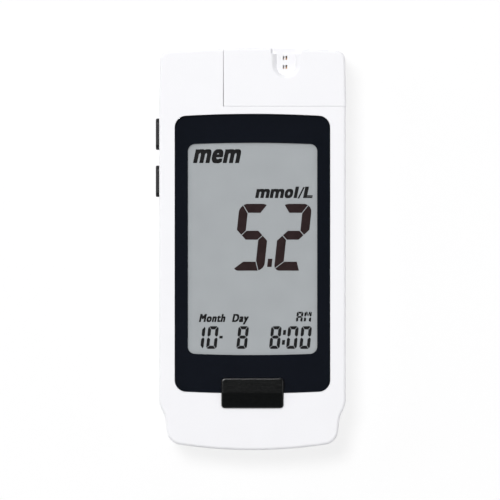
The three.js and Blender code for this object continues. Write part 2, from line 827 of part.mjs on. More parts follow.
function portWindow(index) {
  const y = caseTop - portWindowFromEnd - index * portWindowPitch;
  return box(
    portX - portWindowWidth / 2, portX + portWindowWidth / 2,
    y - portWindowLength / 2, y + portWindowLength / 2, stripSlotTop - stripSlotHeight / 2,
    notchFloorTop + cutOverrun);
}

function stripHead() {
  const zone = box(
    headLeft, caseSide + cutOverrun, headFoot, caseTop + cutOverrun,
    headBottom, caseThickness + cutOverrun);
  const skin = loft(frontRings(headBottom, headProud)).intersect(zone);
  const sleeve = box(
    headLeft + headWall, caseSide - sideWall, headFoot - cutOverrun, noseEnd + noseFit,
    headBottom - cutOverrun, headCeiling);
  const blockStart = noseEnd + noseFit + headBlockWall;
  const slotCheekLeft = portX - stripSlotWidth / 2 - slotCheek;
  const slotCheekRight = portX + stripSlotWidth / 2 + slotCheek;
  const inside = prism(
    roundedOutline(caseCorners(), sideWall), headBottom - cutOverrun, headCeiling);
  const pockets = [[headLeft + headWall, slotCheekLeft], [slotCheekRight, caseSide]].map(([left, right]) =>
    box(left, right, blockStart, caseTop, headBottom - cutOverrun, headCeiling).intersect(inside));
  const slot = box(
    portX - stripSlotWidth / 2, portX + stripSlotWidth / 2, noseEnd, caseTop + cutOverrun,
    stripSlotBottom, stripSlotTop);
  const lip = box(
    portX - notchFloorWidth / 2, portX + notchFloorWidth / 2, caseTop - lipLength, caseTop + cutOverrun,
    stripSlotBottom, caseThickness + cutOverrun);
  const hood = cutBy(skin, [sleeve, ...pockets, slot, notchCutter(), lip, portWindow(0), portWindow(1)]);
  return joined([hood, ...headRails(0)]);
}

function stripConnector() {
  const body = box(
    portX - connectorWidth / 2, portX + connectorWidth / 2, connectorStart, connectorEnd,
    boardTop, stripSlotTop + connectorRoof);
  return body.subtract(box(
    portX - stripSlotWidth / 2, portX + stripSlotWidth / 2,
    connectorStart - cutOverrun, connectorEnd + cutOverrun, stripSlotBottom, stripSlotTop));
}

function stripContact(setback) {
  const height = stripSlotTop - contactDrop - contactThickness / 2;
  const tailY = connectorStart - connectorTailGap;
  return bentStrip([
    [caseTop - lipLength - contactDrop - setback, height],
    [tailY, height],
    [tailY, boardTop],
  ], contactThickness, contactWidth);
}

// Cells, springs and door

function coinCell() {
  const radius = cellDiameter / 2;
  const profile = [
    [0, 0],
    [radius - cellRim, 0],
    [radius, cellRim],
    [radius, cellHeight - cellRim],
    [radius - cellRim, cellHeight - cellRim / 2],
    [radius - cellCapInset, cellHeight - cellRim / 2],
    [radius - cellCapInset - cellRim / 2, cellHeight],
    [0, cellHeight],
  ].map(([x, y]) => new THREE.Vector2(x, y));
  const geometry = new THREE.LatheGeometry(profile, roundSteps);
  geometry.rotateX(Math.PI / 2);
  return solidOf(geometry);
}

function batterySpring(cellY, direction) {
  const footZ = boardBottom - springThickness / 2;
  const toeZ = cellTop + springTouch + springThickness / 2;
  return bentStrip([
    [cellY - direction * springFoot, footZ],
    [cellY, footZ],
    [cellY + direction * springReach, toeZ],
    [cellY + direction * (springReach + springToe), toeZ + springToeRise],
  ], springThickness, springWidth);
}

function batteryLink() {
  return box(
    -linkWidth / 2, linkWidth / 2, lowerCellY - springReach, upperCellY + springReach,
    backWall, backWall + linkThickness);
}

function batteryDoor() {
  const skin = loft(backRings(partingHeight));
  const panel = box(-doorSide, doorSide, caseBottom - cutOverrun, doorEnd, -cutOverrun, backWall);
  const rails = box(-railSide, railSide, caseBottom - cutOverrun, doorEnd, railBottom, backWall);
  const grooves = Array.from({ length: gripCount }, (_, index) => {
    const y = caseBottom + gripFromEnd + index * gripPitch;
    return box(
      -gripWidth / 2, gripWidth / 2, y - gripGroove / 2, y + gripGroove / 2, -cutOverrun, gripDepth);
  });
  return cutBy(skin.intersect(joined([panel, rails])), grooves);
}

// Screw with its head down, standing on the origin at the head's seat
function caseScrew() {
  const head = disc(screwHeadRadius, 0, 0, -screwHeadHeight, 0);
  const shank = disc(screwShankRadius, 0, 0, -screwHeadHeight / 2, screwLength);
  const [long, short] = [screwCrossSpan / 2, screwCrossWidth / 2];
  const cross = [[long, short], [short, long]].map(([x, y]) =>
    box(-x, x, -y, y, -screwHeadHeight - cutOverrun, -screwHeadHeight + screwCrossDepth));
  return cutBy(head.add(shank), cross);
}

// The assembly

const meter = new THREE.Group();

function addPart(name, solid, finish, [x, y, z] = [0, 0, 0], parent = meter) {
  const mesh = new THREE.Mesh(geometryOf(solid), finish);
  mesh.name = name;
  mesh.position.set(x, y, z);
  parent.add(mesh);
  return mesh;
}

addPart('front_case', frontCase(), whitePlastic);
addPart('back_case', backCase(), whitePlastic);
addPart('strip_head', stripHead(), whitePlastic);
addPart('display_lens', displayLens(), clearAcrylic);
addPart('lens_mask', lensMask(), borderInk);
addPart('dust_seal', dustSeal(), foam);
addPart('display_cover', displayCover(), displayGlass);
addPart('lcd_front_glass', glassPlate(glassLowerEnd, frontGlassBottom, glassTop), displayGlass);
addPart('lcd_rear_glass', glassPlate(rearGlassLowerEnd, rearGlassBottom, frontGlassBottom), displayGlass);
addPart('lcd_reflector', glassPlate(rearGlassLowerEnd, reflectorBottom, rearGlassBottom), reflectorFilm);
addPart('lcd_frame', displayFrame(), blackPlastic);
addPart('zebra_connector', zebraConnector(), greyRubber);
addPart('main_board', mainBoard(), boardGreen);

addPart('main_button', mainButton(), blackPlastic);
const mainSwitchTop = mainFlangeBottom - mainTravel - plungerSpare;
addPart('main_switch',
  pushSwitch(mainSwitchSize, mainSwitchSize, mainSwitchTop - boardTop, mainTravel), chipBlack,
  [0, mainCapY, mainSwitchTop]);
addPart('main_switch_plunger', plunger(mainTravel), greyRubber, [0, mainCapY, mainSwitchTop]);

// Each side button's group is turned so that its own +Z points out of the left wall.
for (const [place, y] of [['upper', upperSideY], ['lower', lowerSideY]]) {
  const group = new THREE.Group();
  group.position.set(sideCapX, y, sideButtonZ);
  group.rotation.y = -Math.PI / 2;
  meter.add(group);
  addPart(`side_button_${place}`, sideButton(), blackPlastic, [0, 0, 0], group);
  const switchTop = boardBottom - sideButtonZ;
  const switchMiddle = switchTop - sideSwitchHeight / 2;
  addPart(`side_switch_${place}`,
    pushSwitch(sideSwitchHeight, sideSwitchWidth, sideSwitchDepth, sideTravel, [-switchMiddle, 0]),
    chipBlack, [switchMiddle, 0, -sideSwitchFace], group);
  addPart(`side_plunger_${place}`, plunger(sideTravel), greyRubber, [0, 0, -sideSwitchFace], group);
}

addPart('strip_connector', stripConnector(), blackPlastic);
for (const [place, column, setback] of [
  ['left', -1, outerContactSetback], ['middle', 0, 0], ['right', 1, outerContactSetback],
]) {
  addPart(`strip_contact_${place}`, stripContact(setback), copper, [portX + column * contactPitch, 0, 0]);
}

const boardParts = new THREE.Group();
boardParts.position.z = boardBottom;
meter.add(boardParts);
const processorY = bayTop + chipRowFromCells + processorSize / 2;
const memoryY = processorY + (processorSize + memoryLength) / 2 + chipGap;
const crystalY = processorY + buzzerRadius + chipGap + crystalLength / 2;
addPart('processor', chip(processorSize, processorSize, processorHeight, processorMark), chipBlack,
  [-(processorSize + chipGap) / 2, processorY, 0], boardParts);
addPart('memory_chip', chip(memoryWidth, memoryLength, memoryHeight, memoryMark), chipBlack,
  [-(processorSize + chipGap) / 2, memoryY, 0], boardParts);
addPart('crystal', crystalCan(), steel, [buzzerRadius + chipGap / 2, crystalY, 0], boardParts);
addPart('buzzer', buzzerDisc(), brassDisc, [buzzerRadius + chipGap / 2, processorY, 0], boardParts);

addPart('coin_cell_upper', coinCell(), steel, [0, upperCellY, cellBottom]);
addPart('coin_cell_lower', coinCell(), steel, [0, lowerCellY, cellBottom]);
addPart('battery_spring_positive', batterySpring(upperCellY, -1), springSteel);
addPart('battery_spring_negative', batterySpring(lowerCellY, 1), springSteel);
addPart('battery_link', batteryLink(), springSteel);
addPart('battery_door', batteryDoor(), whitePlastic);

for (const [name, [x, y]] of Object.entries(screwPlaces)) {
  addPart(name, caseScrew(), steel, [x, y, screwSeatHeight]);
}

export default meter;
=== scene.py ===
"""Looks of a hand-held blood glucose meter, built round its packed construction.

Shapes are worked out in millimetres and turned to metres as each piece is finished.
+X is to the right seen from the front, +Y points to the test-strip end, +Z out of the display.
"""

import json
import math
from collections import namedtuple

import bmesh
import bpy
from mathutils import Matrix, Vector


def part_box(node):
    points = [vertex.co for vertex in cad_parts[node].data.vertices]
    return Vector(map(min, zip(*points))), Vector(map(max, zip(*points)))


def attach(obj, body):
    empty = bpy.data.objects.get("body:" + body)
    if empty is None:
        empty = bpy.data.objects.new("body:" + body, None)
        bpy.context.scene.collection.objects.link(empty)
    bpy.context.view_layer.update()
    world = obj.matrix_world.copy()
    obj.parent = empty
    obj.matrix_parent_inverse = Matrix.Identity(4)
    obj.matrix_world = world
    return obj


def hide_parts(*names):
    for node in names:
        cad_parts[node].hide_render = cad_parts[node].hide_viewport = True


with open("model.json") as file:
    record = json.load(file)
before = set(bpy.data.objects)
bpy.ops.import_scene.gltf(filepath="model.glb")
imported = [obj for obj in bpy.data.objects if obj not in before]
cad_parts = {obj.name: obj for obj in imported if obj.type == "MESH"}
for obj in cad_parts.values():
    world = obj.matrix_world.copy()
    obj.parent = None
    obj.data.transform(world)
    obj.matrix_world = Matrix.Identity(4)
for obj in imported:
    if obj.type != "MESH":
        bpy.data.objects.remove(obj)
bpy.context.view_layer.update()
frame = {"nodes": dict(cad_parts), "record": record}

MM = 0.001


def box_mm(node):
    """Lowest and highest corner of a CAD node, in millimetres."""
    low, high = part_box(node)
    return low / MM, high / MM


# Case outline, seen from the front
CASE_LENGTH = 97.0
CASE_WIDTH = 45.0
TOP_EDGE_RISE = 0.8
TOP_CORNER_RADIUS = 2.1
SIDE_TAPER = 0.25
SIDE_TAPER_LENGTH = 12.5
SIDE_TAPER_RADIUS = 60.0
WAIST_FROM_END = 11.1
WAIST_LENGTH = 3.1
WAIST_STEP = 1.43
WAIST_RADIUS = 5.0
LOWER_SIDE_TAPER = 0.77
BOTTOM_EDGE_RISE = 1.7
BOTTOM_CORNER_RADIUS = 3.6

# Case section
SIDE_WALL = 1.8
BACK_WALL = 1.6
FRONT_EDGE_RADIUS = 0.65
BACK_EDGE_INSET = 1.8
BACK_EDGE_HEIGHT = 3.0
SEAM_BEVEL = 0.12
EDGE_FLARE = 0.06
FLARE_LIFT = 0.01

# Window and display, seen inside the printed border
WINDOW_SIDE_MARGIN = 3.76
WINDOW_TOP_MARGIN = 15.88
WINDOW_BOTTOM_MARGIN = 13.7
WINDOW_TOP_RISE = 0.6
WINDOW_BOTTOM_RISE = 0.5
WINDOW_CORNER_RADIUS = 2.8
WINDOW_FIT = 0.05
PANE_BEVEL = 0.06
PANE_RIM = 0.3
PRINT_GAP = 0.01
DISPLAY_SIDE_BORDER = 3.11
DISPLAY_TOP_BORDER = 6.9
DISPLAY_BOTTOM_BORDER = 9.23
DISPLAY_RISE = 0.35
DISPLAY_CORNER_RADIUS = 1.8
COVER_HOLE_MARGIN = 0.55

# Main button
MAIN_CAP_WIDTH = 14.9
MAIN_CAP_LENGTH = 7.3
MAIN_CAP_FROM_END = 13.76
MAIN_CAP_RADIUS = 0.8
MAIN_CAP_SLOPE = 0.5
MAIN_CAP_EDGE = 0.34
MAIN_CREASE = 0.12
CREASE_SHARES = (0.4, 1.2, 3)
MAIN_FLANGE_REACH = 0.6
MAIN_FLANGE_THICKNESS = 0.9
CAP_FIT = 0.07

# Side buttons
SIDE_CAP_LENGTH = 7.63
SIDE_CAP_HEIGHT = 2.6
SIDE_CAP_PROUD = 0.95
SIDE_CAP_EDGE = 0.3
SIDE_CAP_FIT = 0.15
SIDE_FLANGE_REACH = 0.4
SIDE_FLANGE_THICKNESS = 0.7
FLANGE_GAP = 0.1

# Strip head, and the nose of the front case that it slides over
HEAD_WIDTH = 29.53
HEAD_LENGTH = 14.0
HEAD_WALL = 1.6
HEAD_PROUD = 0.08
SIDE_SEAM = 0.25
CROSS_SEAM = 0.14
SIDE_SEAM_TOP_GAP = 0.03
SIDE_SEAM_FOOT_GAP = 0.13
CROSS_SEAM_GAP = 0.03
HEAD_BLOCK_WALL = 1.3
NOSE_LENGTH = 6.0
NOSE_WALL = 1.2
NOSE_ROOF = 0.8
NOSE_FIT = 0.3
HEAD_RAIL_REACH = 0.9
HEAD_RAIL_HEIGHT = 1.0
HEAD_RAIL_FIT = 0.2

# Strip port
PORT_FROM_SIDE = 14.4
NOTCH_WIDTH = 7.25
NOTCH_FLOOR_WIDTH = 4.5
NOTCH_LENGTH = 7.4
NOTCH_END_SLOPE = 0.9
SCOOP_DEPTH = 1.25
NOTCH_RADIUS = 3.55
NOTCH_FLOOR_RADIUS = 2.2
NOTCH_FLOOR_THICKNESS = 0.7
LIP_LENGTH = 1.3
LIP_DEPTH = 1.5
STRIP_SLOT_WIDTH = 7.1
STRIP_SLOT_HEIGHT = 0.9
STRIP_SLOT_FROM_FACE = 3.3
SLOT_CHEEK = 1.4
PORT_WINDOW_COUNT = 2
PORT_WINDOW_WIDTH = 1.04
PORT_WINDOW_LENGTH = 0.96
PORT_WINDOW_PITCH = 2.2
PORT_WINDOW_FROM_END = 2.3
PORT_WINDOW_SHIFT = 0.23
PORT_WINDOW_RADIUS = 0.12
PORT_WINDOW_RIB = 0.28
PORT_SLIT = 0.34

# Battery bay and its door
CELL_DIAMETER = 20.0
CELL_SPACING = 0.6
CELL_FROM_END = 3.3
CELL_GAP = 0.4
BAY_RIB = 1.0
DOOR_MARGIN = 1.6
DOOR_FIT = 0.15
RAIL_REACH = 1.0
RAIL_THICKNESS = 0.8
DOOR_BEVEL = 0.18
GRIP_WIDTH = 12.0
GRIP_PITCH = 1.8
GRIP_GROOVE = 0.8
GRIP_COUNT = 5
GRIP_FROM_END = 9.0

# Screws and bosses
SCREW_HEAD_RADIUS = 1.9
SCREW_SHANK_RADIUS = 0.9
SCREW_LENGTH = 9.0
SCREW_SEAT_HEIGHT = 3.0
SCREW_FIT = 0.15
BOSS_WALL = 0.85
BOARD_STOP_REACH = 0.5
LOWER_SCREW_FROM_SIDE = 6.3
LOWER_SCREW_FROM_END = 7.5
UPPER_SCREW_FROM_SIDE = 5.3
LEFT_SCREW_FROM_TOP = 5.9
RIGHT_SCREW_FROM_HEAD = 3.9

# Fineness of curves and meshes, overrun of cuts
SMALLEST_RADIUS = 0.05
CORNER_STEPS = 14
CROWN_STEPS = 24
TAPER_STEPS = 6
EDGE_STEPS = 9
FLARE_STEPS = 4
LETTER_STEPS = 6
ROUND_STEPS = 40
OVERRUN = 5.0
BOW_SHARE = 0.96
MERGE_DISTANCE = 0.0005
SMOOTH_ANGLE = math.radians(32)
FLAT_SHARE = 0.9999
FULL_WEIGHT = 100

# Places and heights
CASE_TOP = CASE_LENGTH / 2
CASE_BOTTOM = -CASE_LENGTH / 2
CASE_SIDE = CASE_WIDTH / 2
CASE_THICKNESS = box_mm("front_case")[1].z
PARTING = box_mm("back_case")[1].z
PANE_BOTTOM = box_mm("display_lens")[0].z
PANE_TOP = box_mm("display_lens")[1].z
BORDER_BOTTOM = box_mm("lens_mask")[0].z
PLATE_BOTTOM = box_mm("dust_seal")[1].z
IMAGE_HEIGHT = box_mm("display_cover")[1].z
BOARD_TOP = box_mm("main_board")[1].z
WINDOW_TOP = CASE_TOP - WINDOW_TOP_MARGIN
WINDOW_BOTTOM = CASE_BOTTOM + WINDOW_BOTTOM_MARGIN
WINDOW_SIDE = CASE_SIDE - WINDOW_SIDE_MARGIN
DISPLAY_TOP = WINDOW_TOP - DISPLAY_TOP_BORDER
DISPLAY_BOTTOM = WINDOW_BOTTOM + DISPLAY_BOTTOM_BORDER
DISPLAY_SIDE = WINDOW_SIDE - DISPLAY_SIDE_BORDER

MAIN_CAP_Y = CASE_BOTTOM + MAIN_CAP_FROM_END
MAIN_FLANGE_BOTTOM = box_mm("main_button")[0].z
MAIN_RIDGE = box_mm("main_button")[1].z

HEAD_SEAM_X = CASE_SIDE - HEAD_WIDTH
HEAD_SEAM_Y = CASE_TOP - HEAD_LENGTH
HEAD_LEFT = HEAD_SEAM_X + SIDE_SEAM / 2
HEAD_FOOT = HEAD_SEAM_Y + CROSS_SEAM / 2
HEAD_BOTTOM = box_mm("strip_head")[0].z
HEAD_CEILING = CASE_THICKNESS - HEAD_WALL
HEAD_CORNER_X = HEAD_SEAM_X - SIDE_SEAM / 2
HEAD_CORNER_Y = HEAD_SEAM_Y - CROSS_SEAM / 2
NOSE_LEFT = HEAD_LEFT + HEAD_WALL + NOSE_FIT
NOSE_RIGHT = CASE_SIDE - SIDE_WALL - NOSE_FIT
NOSE_TOP = HEAD_CEILING - NOSE_FIT
NOSE_CEILING = NOSE_TOP - NOSE_ROOF
NOSE_END = HEAD_SEAM_Y + NOSE_LENGTH
NOSE_INNER_END = NOSE_END - NOSE_WALL

PORT_X = CASE_SIDE - PORT_FROM_SIDE
NOTCH_LEFT = PORT_X - NOTCH_WIDTH / 2
NOTCH_RIGHT = PORT_X + NOTCH_WIDTH / 2
SCOOP_FLOOR = CASE_THICKNESS - SCOOP_DEPTH
STRIP_SLOT_TOP = CASE_THICKNESS - STRIP_SLOT_FROM_FACE
STRIP_SLOT_BOTTOM = STRIP_SLOT_TOP - STRIP_SLOT_HEIGHT
STRIP_SLOT_LEFT = PORT_X - STRIP_SLOT_WIDTH / 2
STRIP_SLOT_RIGHT = PORT_X + STRIP_SLOT_WIDTH / 2

CELL_BOTTOM = box_mm("coin_cell_lower")[0].z
UPPER_CELL_Y = CASE_BOTTOM + CELL_FROM_END + CELL_SPACING + CELL_DIAMETER * 3 / 2
BAY_TOP = UPPER_CELL_Y + CELL_DIAMETER / 2 + CELL_GAP
BAY_SIDE = CELL_DIAMETER / 2 + CELL_GAP
DOOR_SIDE = CELL_DIAMETER / 2 + DOOR_MARGIN
DOOR_END = BAY_TOP + BAY_RIB
RAIL_SIDE = DOOR_SIDE + RAIL_REACH
RAIL_BOTTOM = BACK_WALL - RAIL_THICKNESS
SCREW_BOSS_RADIUS = SCREW_SHANK_RADIUS + SCREW_FIT + BOSS_WALL
SCREW_PLACES = (
    (-CASE_SIDE + LOWER_SCREW_FROM_SIDE, CASE_BOTTOM + LOWER_SCREW_FROM_END),
    (CASE_SIDE - LOWER_SCREW_FROM_SIDE, CASE_BOTTOM + LOWER_SCREW_FROM_END),
    (-CASE_SIDE + UPPER_SCREW_FROM_SIDE, CASE_TOP - LEFT_SCREW_FROM_TOP),
    (CASE_SIDE - UPPER_SCREW_FROM_SIDE, HEAD_SEAM_Y - RIGHT_SCREW_FROM_HEAD),
)

# Outlines

Corner = namedtuple("Corner", "x y radius steps", defaults=(CORNER_STEPS,))


def rounded_outline(corners, inset=0.0):
    """Points of a counter-clockwise outline moved in by inset, each corner rounded by its radius."""
    edges = []
    for corner, following in zip(corners, corners[1:] + corners[:1]):
        along = Vector((following.x - corner.x, following.y - corner.y)).normalized()
        inward = Vector((-along.y, along.x))
        edges.append((along, inward, Vector((corner.x, corner.y)) + inward * inset))
    points = []
    for index, corner in enumerate(corners):
        before, before_inward, before_start = edges[index - 1]
        after, _, after_start = edges[index]
        sine = before.cross(after)
        turn = math.atan2(sine, before.dot(after))
        side = math.copysign(1, turn)
        vertex = before_start + before * ((after_start - before_start).cross(after) / sine)
        radius = max(corner.radius - side * inset, SMALLEST_RADIUS)
        tangent = radius * math.tan(abs(turn) / 2)
        centre = vertex - before * tangent + before_inward * (side * radius)
        spoke = before_inward * (-side * radius)
        for step in range(corner.steps + 1):
            points.append(centre + Matrix.Rotation(turn * step / corner.steps, 2) @ spoke)
    return points


def crown_corner(y, outward, half_width, rise, corner_radius):
    """Corner at the middle of a bowed edge, which falls by rise from its middle to its ends."""
    reach = BOW_SHARE * (half_width - corner_radius)
    peak = rise * reach / (2 * half_width - reach)
    slope = math.atan((peak + rise) / half_width)
    return Corner(0, y + outward * peak, peak / (1 / math.cos(slope) - 1), CROWN_STEPS)


def mirrored(right_half):
    """Adds the left half of an outline that runs up its right side."""
    return right_half + [corner._replace(x=-corner.x) for corner in right_half[-2:0:-1]]


def case_corners():
    lower_side = CASE_SIDE - WAIST_STEP - LOWER_SIDE_TAPER
    upper_side = CASE_SIDE - SIDE_TAPER
    waist_top = CASE_BOTTOM + WAIST_FROM_END
    return mirrored([
        crown_corner(CASE_BOTTOM, -1, lower_side, BOTTOM_EDGE_RISE, BOTTOM_CORNER_RADIUS),
        Corner(lower_side, CASE_BOTTOM + BOTTOM_EDGE_RISE, BOTTOM_CORNER_RADIUS),
        Corner(CASE_SIDE - WAIST_STEP, waist_top - WAIST_LENGTH, WAIST_RADIUS),
        Corner(CASE_SIDE, waist_top, WAIST_RADIUS),
        Corner(CASE_SIDE, CASE_TOP - SIDE_TAPER_LENGTH, SIDE_TAPER_RADIUS, TAPER_STEPS),
        Corner(upper_side, CASE_TOP - TOP_EDGE_RISE, TOP_CORNER_RADIUS),
        crown_corner(CASE_TOP, 1, upper_side, TOP_EDGE_RISE, TOP_CORNER_RADIUS),
    ])


def bowed_rectangle(side, bottom, top, bottom_rise, top_rise, radius):
    return mirrored([
        crown_corner(bottom, -1, side, bottom_rise, radius),
        Corner(side, bottom + bottom_rise, radius),
        Corner(side, top - top_rise, radius),
        crown_corner(top, 1, side, top_rise, radius),
    ])


def rectangle(left, right, bottom, top, radius):
    return [
        Corner(left, bottom, radius),
        Corner(right, bottom, radius),
        Corner(right, top, radius),
        Corner(left, top, radius),
    ]


CASE = case_corners()
WINDOW = bowed_rectangle(
    WINDOW_SIDE, WINDOW_BOTTOM, WINDOW_TOP, WINDOW_BOTTOM_RISE, WINDOW_TOP_RISE, WINDOW_CORNER_RADIUS)
DISPLAY = bowed_rectangle(
    DISPLAY_SIDE, DISPLAY_BOTTOM, DISPLAY_TOP, DISPLAY_RISE, DISPLAY_RISE, DISPLAY_CORNER_RADIUS)
MAIN_CAP = rectangle(
    -MAIN_CAP_WIDTH / 2, MAIN_CAP_WIDTH / 2,
    MAIN_CAP_Y - MAIN_CAP_LENGTH / 2, MAIN_CAP_Y + MAIN_CAP_LENGTH / 2, MAIN_CAP_RADIUS)
SIDE_CAP = rectangle(
    -SIDE_CAP_HEIGHT / 2, SIDE_CAP_HEIGHT / 2,
    -SIDE_CAP_LENGTH / 2, SIDE_CAP_LENGTH / 2, SIDE_CAP_HEIGHT / 2 - SMALLEST_RADIUS)

# Shapes


def holder(name, data):
    """Puts a new object that holds the data into the scene."""
    item = bpy.data.objects.new(name, data)
    bpy.context.scene.collection.objects.link(item)
    return item


def object_from(bm, name="shape"):
    """Object made of the bmesh, its double points merged."""
    bmesh.ops.remove_doubles(bm, verts=bm.verts, dist=MERGE_DISTANCE)
    bmesh.ops.dissolve_degenerate(bm, edges=bm.edges, dist=MERGE_DISTANCE)
    mesh = bpy.data.meshes.new(name)
    bm.to_mesh(mesh)
    bm.free()
    return holder(name, mesh)


def add_walls(bm, levels):
    """Adds the walls between each ring of vertices and the next one up."""
    for lower, upper in zip(levels, levels[1:]):
        for index in range(len(lower)):
            bm.faces.new((lower[index - 1], lower[index], upper[index], upper[index - 1]))


def add_loft(bm, rings):
    """Adds a closed shape through (points, height) rings, lowest first, counter-clockwise from above."""
    levels = [[bm.verts.new((x, y, height)) for x, y in points] for points, height in rings]
    add_walls(bm, levels)
    bm.faces.new(levels[0][::-1])
    bm.faces.new(levels[-1])


def loft(rings):
    bm = bmesh.new()
    add_loft(bm, rings)
    return object_from(bm)


def prism(points, bottom, top):
    return loft([(points, bottom), (points, top)])


def block(left, right, near, far, bottom, top):
    return prism([(left, near), (right, near), (right, far), (left, far)], bottom, top)


def circle(radius, x=0, y=0):
    turns = [math.tau * step / ROUND_STEPS for step in range(ROUND_STEPS)]
    return [(x + radius * math.cos(turn), y + radius * math.sin(turn)) for turn in turns]


def edge_shares(steps):
    """Shares of the way in, and of the way that is left to rise, along a quarter of a circle."""
    angles = [math.pi / 2 * step / steps for step in range(steps + 1)]
    return [(1 - math.cos(angle), 1 - math.sin(angle)) for angle in angles]


def edge_rings(corners, radius, top, steps, inset=0.0, side=1):
    """Rings up an edge rounded by the radius, which turns inwards, or outwards where side is -1."""
    return [
        (rounded_outline(corners, inset + side * radius * way_in), top - radius * left_to_rise)
        for way_in, left_to_rise in edge_shares(steps)
    ]


def flared(corners, gap, bottom, top, flare=EDGE_FLARE):
    """Cutter that opens out where it leaves the surface at top, so that the edge there is rounded."""
    rings = edge_rings(corners, flare, top + FLARE_LIFT, FLARE_STEPS, -gap, -1)
    return loft([
        (rounded_outline(corners, -gap), bottom), *rings, (rings[-1][0], top + OVERRUN)])


def evaluated_mesh(item):
    """Plain mesh of an object, with its modifiers or letters worked out."""
    graph = bpy.context.evaluated_depsgraph_get()
    return bpy.data.meshes.new_from_object(item.evaluated_get(graph))


def combined(operation, base, others, solver="EXACT"):
    """base joined with, met by or cut by the other shapes, which are used up."""
    group = bpy.data.collections.new("operands")
    for other in others:
        group.objects.link(other)
    modifier = base.modifiers.new("combined", "BOOLEAN")
    modifier.operation = operation
    modifier.operand_type = "COLLECTION"
    modifier.collection = group
    modifier.solver = solver
    mesh = evaluated_mesh(base)
    base.modifiers.clear()
    base.data = mesh
    for other in others:
        bpy.data.objects.remove(other)
    bpy.data.collections.remove(group)
    return base


def cut(base, *others):
    return combined("DIFFERENCE", base, others)


def joined(base, *others, solver="EXACT"):
    return combined("UNION", base, others, solver)


def met(base, *others):
    return combined("INTERSECT", base, others)


def back_rings(top):
    """Rings of the outer skin, from the flat back up its rounded edge to the parting line."""
    rings = [
        (rounded_outline(CASE, BACK_EDGE_INSET * way_out), BACK_EDGE_HEIGHT * way_up)
        for way_up, way_out in edge_shares(EDGE_STEPS)
    ]
    rings.append((rounded_outline(CASE), top - SEAM_BEVEL))
    rings.append((rounded_outline(CASE, SEAM_BEVEL), top))
    return rings


def front_rings(bottom, proud=0.0):
    """Rings of the outer skin, from the parting line up to the rounded edge of the front face."""
    return [
        (rounded_outline(CASE, SEAM_BEVEL - proud), bottom),
        (rounded_outline(CASE, -proud), bottom + SEAM_BEVEL),
        *edge_rings(CASE, FRONT_EDGE_RADIUS, CASE_THICKNESS, EDGE_STEPS, -proud),
    ]


# Case halves


def at_screws(radius, bottom, top):
    return [prism(circle(radius, x, y), bottom, top) for x, y in SCREW_PLACES]


def nose_space(bottom, top):
    """Room inside the nose, open to the rest of the case."""
    return block(
        NOSE_LEFT + NOSE_WALL, NOSE_RIGHT - NOSE_WALL,
        HEAD_CORNER_Y - SIDE_WALL - NOSE_WALL, NOSE_INNER_END, bottom, top)


def head_rails(fit):
    """The strip head's two rails, or with fit the grooves that they run in."""
    bottom = (HEAD_BOTTOM + NOSE_CEILING - HEAD_RAIL_HEIGHT) / 2 - fit
    left, right = HEAD_LEFT + HEAD_WALL, CASE_SIDE - SIDE_WALL
    spans = ((left, left + HEAD_RAIL_REACH + fit), (right - HEAD_RAIL_REACH - fit, right))
    top = bottom + HEAD_RAIL_HEIGHT + 2 * fit
    return [block(near, far, HEAD_FOOT - fit, NOSE_END + fit, bottom, top) for near, far in spans]


def at_side_button(shape, place):
    """Stands a shape that was built upwards on the side wall at a button, its top pointing out."""
    low, high = box_mm(f"side_button_{place}")
    move = Matrix.Translation((-CASE_SIDE, (low.y + high.y) / 2, (low.z + high.z) / 2))
    shape.data.transform(move @ Matrix.Rotation(-math.pi / 2, 4, "Y"))
    return shape


def head_outline(side):
    """Corner that the strip head fills, on the case's side of the seam (-1) or the head's (1)."""
    foot = HEAD_SEAM_X + side * SIDE_SEAM_FOOT_GAP / 2
    top = HEAD_SEAM_X + side * SIDE_SEAM_TOP_GAP / 2
    near, far = HEAD_SEAM_Y + side * CROSS_SEAM_GAP / 2, CASE_TOP + OVERRUN
    return [
        Corner(foot, near, SMALLEST_RADIUS),
        Corner(CASE_SIDE + OVERRUN, near, SMALLEST_RADIUS),
        Corner(CASE_SIDE + OVERRUN, far, SMALLEST_RADIUS),
        Corner(top, far, SMALLEST_RADIUS),
    ]


